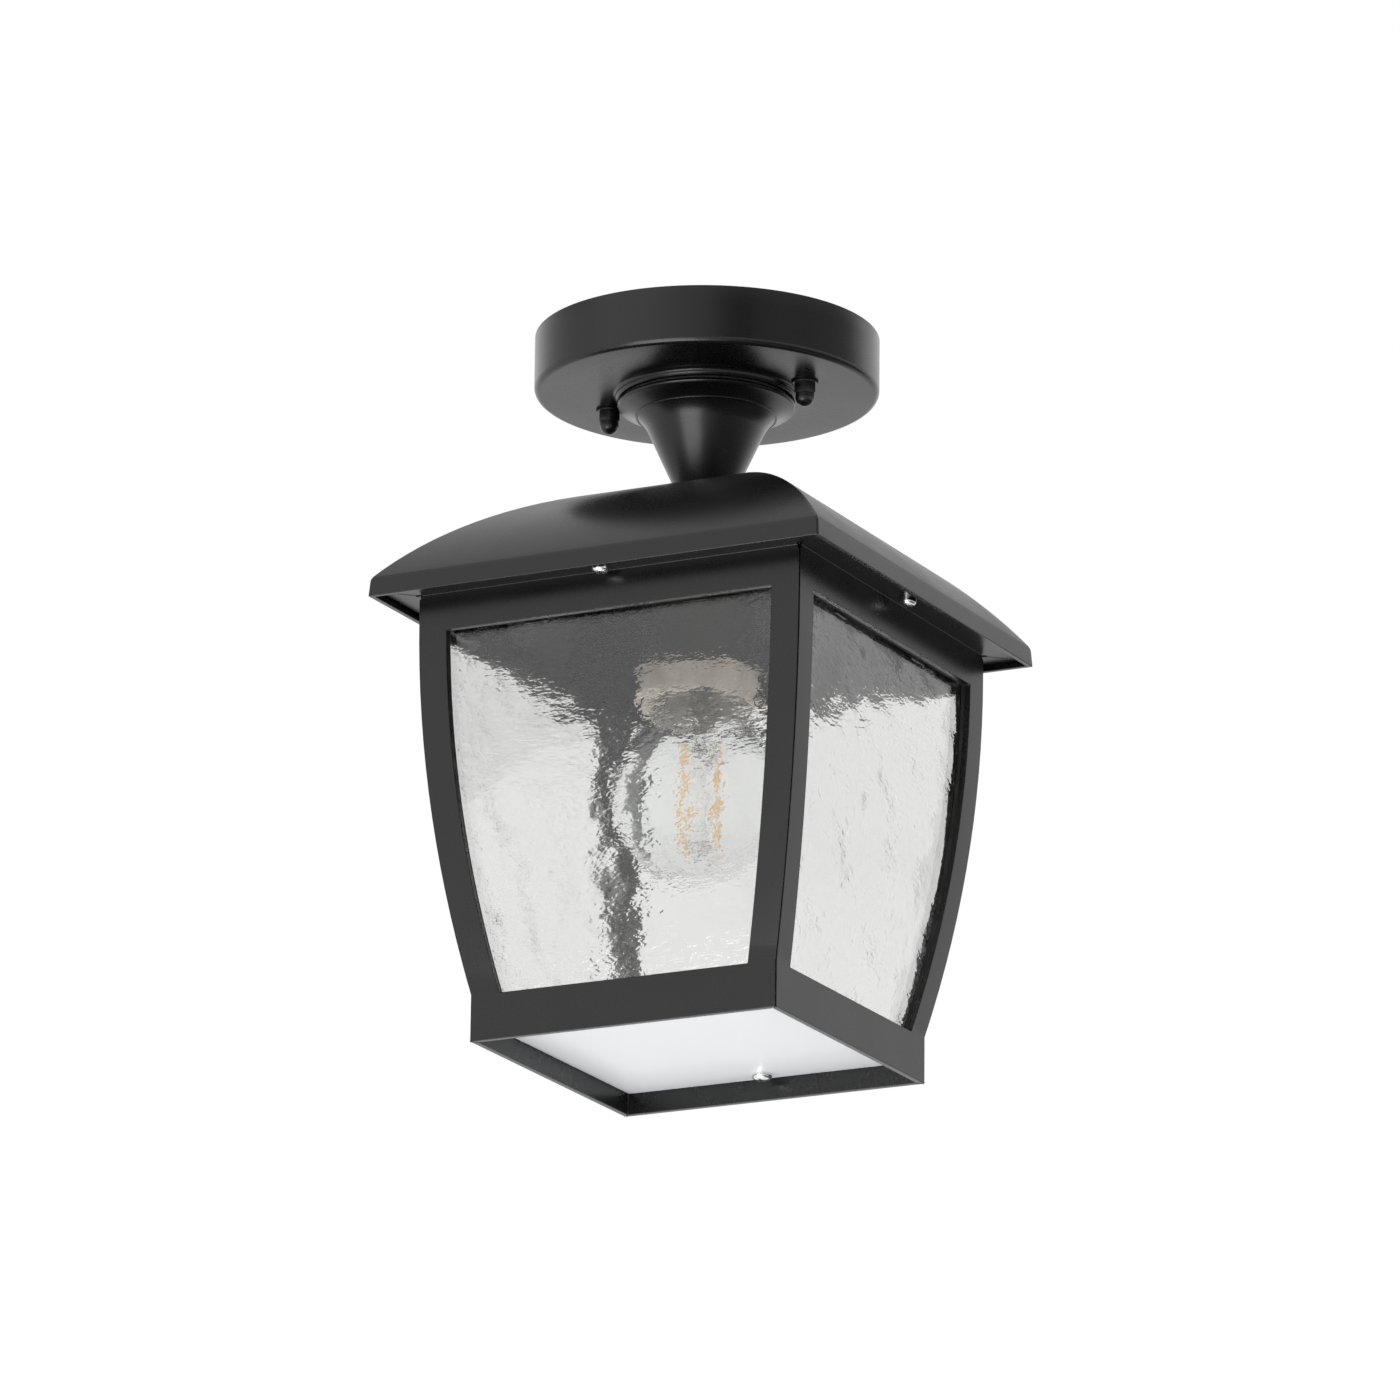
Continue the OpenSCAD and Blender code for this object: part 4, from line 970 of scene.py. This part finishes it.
def lampholder():
    """Ceramic body on a wider skirt, with a bore for the shell and holes for screws and wires"""
    crown, shoulder, rim_out, rim_in, shelf_round = 1.0, 1.2, 0.8, 0.6, 0.8
    shoulder_h, step = 3.0, 1.0
    top = RIM_Z + SKIRT_H
    shelf = top - shoulder_h - SKIRT_WALL
    inside = SKIRT_R - SKIRT_WALL
    bore = SHELL_R + SHELL_T + FIT
    outline = arc(HOLDER_R - crown, HOLDER_Z - crown, crown, 90, 0, 6)
    outline += [(HOLDER_R, z) for z in (-100.0, top + step)]
    outline += arc(SKIRT_R - shoulder, top - shoulder_h - shoulder, shoulder, 45, 0, 4)
    outline += [(SKIRT_R, -125.0)]
    outline += arc(SKIRT_R - rim_out, RIM_Z + rim_out, rim_out, 0, -90, 5)
    outline += arc(inside + rim_in, RIM_Z + rim_in, rim_in, -90, -180, 4)
    outline += arc(inside - shelf_round, shelf - shelf_round, shelf_round, 0, 90, 4)
    outline += [(bore, shelf), (bore, CAVITY_Z), (0, CAVITY_Z), (0, HOLDER_Z)]
    holes = [(side * HOLDER_HOLE_AT, 0, HOLDER_SCREW_R) for side in (1, -1)]
    holes += [(0, side * HOLDER_HOLE_AT, HOLDER_WIRE_R) for side in (1, -1)]
    drilled_piece("lampholder", "ceramic", outline, 128, CAVITY_Z - 2, HOLDER_Z + 2, holes)


def shells():
    """The holder's and the bulb's screw shells; the bulb's thread lies inside the holder's"""
    plain_top, cap_foot, cap_head = 2.5, 2.0, 0.5
    low = SHELL_Z - SHELL_L
    outline = tube_outline(SHELL_R + SHELL_T, SHELL_R, low, SHELL_Z, 70)
    turned_piece("holder_shell", "brass_parts", outline, 64, wave=thread(low, CAP_Z - plain_top))
    low = CAP_Z - CAP_L
    outline = tube_outline(CAP_R, CAP_IN_R, low, CAP_Z, 88)
    turned_piece("bulb_cap", "bulb_nickel", outline, 72,
                 wave=thread(low + cap_foot, CAP_Z - cap_head))


def bulb_glass():
    """Globe with a long hollow curve to its neck, and a collar that sits in the cap"""
    collar_h, rim = 4.0, 0.6
    neck_dx = NECK_R + NECK_FILLET
    neck_dz = math.sqrt((GLOBE_R + NECK_FILLET) ** 2 - neck_dx ** 2)
    meet = math.degrees(math.atan2(neck_dz, neck_dx))
    cap_end = CAP_Z - CAP_L
    collar_r = CAP_IN_R - FIT

    def side(depth):
        points = arc(0, GLOBE_Z, GLOBE_R - depth, -90, meet, 56)
        points += arc(neck_dx, GLOBE_Z + neck_dz, NECK_FILLET + depth, 180 + meet, 180, 24)[1:]
        return points

    outer = side(0) + [(NECK_R, cap_end - rim), (NECK_R - 0.2, cap_end), (collar_r, cap_end),
                       (collar_r, cap_end + collar_h)]
    inner = side(BULB_WALL) + [(NECK_R - BULB_WALL, cap_end - rim - 1.0),
                               (collar_r - BULB_WALL, cap_end - rim),
                               (collar_r - BULB_WALL, cap_end + collar_h)]
    turned_piece("bulb_glass", "bulb_clear", outer + inner[::-1], 144)


def bulb_stem():
    """Flared glass foot, drawn out to the rod that carries the filaments"""
    rod_r, flare_edge = 1.8, 0.8
    top = CAP_Z - CAP_L + 4.0
    flare = CAP_IN_R - FIT - BULB_WALL - FIT
    rod_top = GLOBE_Z + GLOBE_R * 0.8
    rod_end = FILAMENT_Z - FILAMENT_L - 2.0
    outline = [(0, top), (flare, top), (flare, top - flare_edge), (flare - 2.5, top - 3.0)]
    outline += [(r, top - z) for r, z in ((5.6, 5.6), (4.0, 8.5), (3.3, 12.0))]
    outline += [(r, rod_top + z) for r, z in (
        (3.2, 4.0), (3.1, 2.5), (2.5, 0.8), (1.9, 0.0), (rod_r, -1.5))]
    outline += [(rod_r, rod_end + 1.2)]
    outline += arc(0, rod_end + rod_r, rod_r, 0, -90, 8)[1:]
    turned_piece("bulb_stem", "bulb_clear", outline, 64)


def bulb_contacts():
    """Black glass in the cap's end, and the tip in its middle"""
    cup = CAP_IN_R - FIT
    low = CAP_Z - 1.5
    outline = [(0, INSULATOR_Z), (TIP_R, INSULATOR_Z), (TIP_R + 0.6, INSULATOR_Z - 0.15)]
    outline += [(cup - 0.8, CAP_Z + 0.35), (cup, CAP_Z - 0.1), (cup, low), (0, low)]
    turned_piece("bulb_insulator", "black_glass", outline, 64, limit=50)
    outline = [(0, TIP_Z), (2.0, TIP_Z - 0.05), (3.6, TIP_Z - 0.25), (TIP_R, TIP_Z - 0.8)]
    outline += [(TIP_R, INSULATOR_Z), (0, INSULATOR_Z)]
    turned_piece("bulb_tip", "brass_parts", outline, 48)


def filament_tree():
    """Coated rods round the bulb's axis, rounded at both ends"""
    g = new_tree("filaments", ("Radius", "Length", "Distance", "Top", "Turn", "Count rods"))
    size = g.inputs.out
    rod = g.add("GeometryNodeMeshUVSphere", {"Segments": 16, "Rings": 14, "Radius": 1.0})
    x, y, z = g.xyz(g.add("GeometryNodeInputPosition"))
    half = size("Length") * 0.5 - size("Radius")
    stretch = g.math("SIGN", g.math("SNAP", z, 0.01)) * half
    shape = g.join(x * size("Radius") + size("Distance"), y * size("Radius"),
                   z * size("Radius") + stretch + size("Top") - size("Length") * 0.5)
    rod = reshaped(g, rod, shape)
    spots = g.add("GeometryNodePoints", {"Count": size("Count rods")})
    number = g.add("GeometryNodeInputIndex")
    angle = size("Turn") + number * (2 * math.pi) / size("Count rods")
    put = g.add("GeometryNodeInstanceOnPoints", {
        "Points": spots, "Instance": rod, "Rotation": g.join(0, 0, angle)})
    return end_tree(g, put)


lampholder()
shells()
bulb_glass()
bulb_stem()
bulb_contacts()
grown("bulb_filaments", "filament_coat", filament_tree(), {
    "Radius": (FILAMENT_R + FILAMENT_COAT) * MM, "Length": FILAMENT_L * MM,
    "Distance": FILAMENT_X * MM, "Top": FILAMENT_Z * MM, "Turn": math.radians(BULB_TURN),
    "Count rods": 4})


# Nodes that keep the part's own shape get their finish

KEPT = {
    "studs": "zinc_steel", "terminal_inserts": "brass_parts", "terminal_screws": "zinc_steel",
    "terminal_block_screws": "zinc_steel", "earth_screw": "brass_parts", "nipple": "brass_parts",
    "corner_plate_screws": "zinc_steel", "bulb_leads": "bulb_nickel",
}
for node, slot in KEPT.items():
    shape = NODES[node]
    shape.data.materials.clear()
    shape.data.materials.append(FINISHES[slot])


# Stage

WHITE = (1, 1, 1, 1)


def floor():
    """Pale floor far below the light; in reflections it has one large dark patch"""
    depth, width = -4.2, 60
    patch_at, patch_shape = (7.0, 4.5, 0), (1, 0.45, 0)
    dark_to, bright_from, dark, bright = 3.4, 7.0, 0.1, 0.93
    bpy.ops.mesh.primitive_plane_add(size=width, location=(0, 0, depth))
    plane = bpy.context.object
    plane.name = "floor"
    material = bpy.data.materials.new("floor")
    material.use_nodes = True
    g = Graph(material.node_tree)
    base = g.add("ShaderNodeBsdfPrincipled", {"Base Color": (0.9, 0.9, 0.9, 1), "Roughness": 0.8})
    glossy = g.add("ShaderNodeLightPath", out="Is Glossy Ray")
    passing = glossy.out("Is Transmission Ray")
    spot = g.add("ShaderNodeTexCoord", out="Object")
    offset = g.vector("MULTIPLY", g.vector("SUBTRACT", spot, patch_at), patch_shape)
    away = g.vector("LENGTH", offset, (0, 0, 0), "Value")
    shown = g.math("MAXIMUM", passing, g.step(away, dark_to, bright_from, dark, bright))
    glow = g.add("ShaderNodeEmission", {"Color": WHITE, "Strength": shown})
    either = g.add("ShaderNodeMixShader", {0: g.math("MAXIMUM", glossy, passing), 1: base, 2: glow})
    g.add("ShaderNodeOutputMaterial", {"Surface": either})
    plane.data.materials.append(material)


def studio():
    """White background and plain light from all round; reflections see some darker walls"""
    diffuse, open_wall = 0.85, 1.14
    right_dark, front_dark, left_dark = 0.9, 0.35, 0.34
    ceiling_dark, ceiling_least = 0.54, 0.26
    world = bpy.data.worlds.new("studio")
    world.use_nodes = True
    bpy.context.scene.world = world
    g = Graph(world.node_tree)
    camera_ray = g.add("ShaderNodeLightPath", out="Is Camera Ray")
    glossy, passing = camera_ray.out("Is Glossy Ray"), camera_ray.out("Is Transmission Ray")
    way = g.add("ShaderNodeTexCoord", out="Generated")
    x, y, z = g.xyz(way)

    def towards(direction, low, high):
        """Share of a soft round area about a direction, from the cosine of its edge inwards"""
        return g.step(g.vector("DOT_PRODUCT", way, direction, "Value"), low, high)

    right = g.step(x, 0.34, 0.72) * g.step(z, 0.8, 0.3) * g.step(z, 0.0, 0.16)
    ceiling = g.step(z, 0.3, 0.6) * g.step(y, -0.5, -0.1) * g.step(x, 0.4, 0.15)
    opening = towards((-0.45, 0.25, 0.86), 0.75, 0.95)
    front = towards((0.433, -0.855, 0.285), 0.8, 0.98)
    left = towards((-0.94, -0.18, 0.28), 0.8, 0.98)
    mirrored = open_wall - right * right_dark - front * front_dark - left * left_dark
    mirrored = mirrored - ceiling * ((1 - opening) * ceiling_dark + ceiling_least)
    seen = g.math("MAXIMUM", camera_ray, passing)
    strength = seen + (1 - seen) * (glossy * mirrored + (1 - glossy) * diffuse)
    back = g.add("ShaderNodeBackground", {"Color": WHITE, "Strength": strength})
    g.add("ShaderNodeOutputWorld", {"Surface": back})


# Place, width, height, watts, and whether reflections and matt surfaces get the lamp
LAMPS = {
    "key": ((-1.6, -1.8, 0.7), 1.4, 0.84, 14.0, False, True),
    "fill": ((1.8, -1.2, -0.5), 1.6, 0.96, 5.0, False, True),
    "below": ((-0.13, -0.55, -1.4), 0.9, 0.81, 11.6, True, True),
    "low": ((-0.16, -1.25, -0.92), 1.0, 0.9, 10.0, True, False),
}


def lamps():
    """Soft rectangular lamps that point at the middle of the light"""
    middle = Vector((0, 0, -0.13))
    for name, (spot, width, height, watts, mirrored, matt) in LAMPS.items():
        lamp = bpy.data.lights.new(name, "AREA")
        lamp.shape = "RECTANGLE"
        lamp.size, lamp.size_y, lamp.energy = width, height, watts
        holder = bpy.data.objects.new(name, lamp)
        holder.location = spot
        holder.rotation_euler = (middle - Vector(spot)).to_track_quat("-Z", "Y").to_euler()
        holder.visible_camera = holder.visible_transmission = False
        holder.visible_glossy, holder.visible_diffuse = mirrored, matt
        bpy.context.scene.collection.objects.link(holder)


def camera():
    """Camera at the photograph's viewing angle, worked out from the light's own corners"""
    azimuth, elevation, roll = math.radians(26.864), math.radians(-16.559), math.radians(0.678)
    yaw, pitch = math.radians(0.019), math.radians(0.170)
    target, distance = Vector((0, 0, -0.12)), 3.4264
    focal_px, frame_px, sensor, far = 9937.3, 1400.0, 36.0, 50

    def back_way(a, e):
        return Vector((math.sin(a) * math.cos(e), -math.cos(a) * math.cos(e), math.sin(e)))

    spot = target + back_way(azimuth, elevation) * distance
    back = back_way(azimuth + yaw, elevation + pitch)
    right = (-back).cross(Vector((0, 0, 1))).normalized()
    up = right.cross(-back)
    right, up = (right * math.cos(roll) + up * math.sin(roll),
                 up * math.cos(roll) - right * math.sin(roll))
    data = bpy.data.cameras.new("camera")
    data.sensor_width = sensor
    data.sensor_fit = "HORIZONTAL"
    data.lens = focal_px / frame_px * sensor
    data.clip_end = far
    holder = bpy.data.objects.new("camera", data)
    turn = Matrix((right, up, back)).transposed().to_4x4()
    holder.matrix_world = Matrix.Translation(spot) @ turn
    bpy.context.scene.collection.objects.link(holder)
    bpy.context.scene.camera = holder


floor()
studio()
lamps()
camera()
bpy.context.scene.view_settings.view_transform = "Standard"
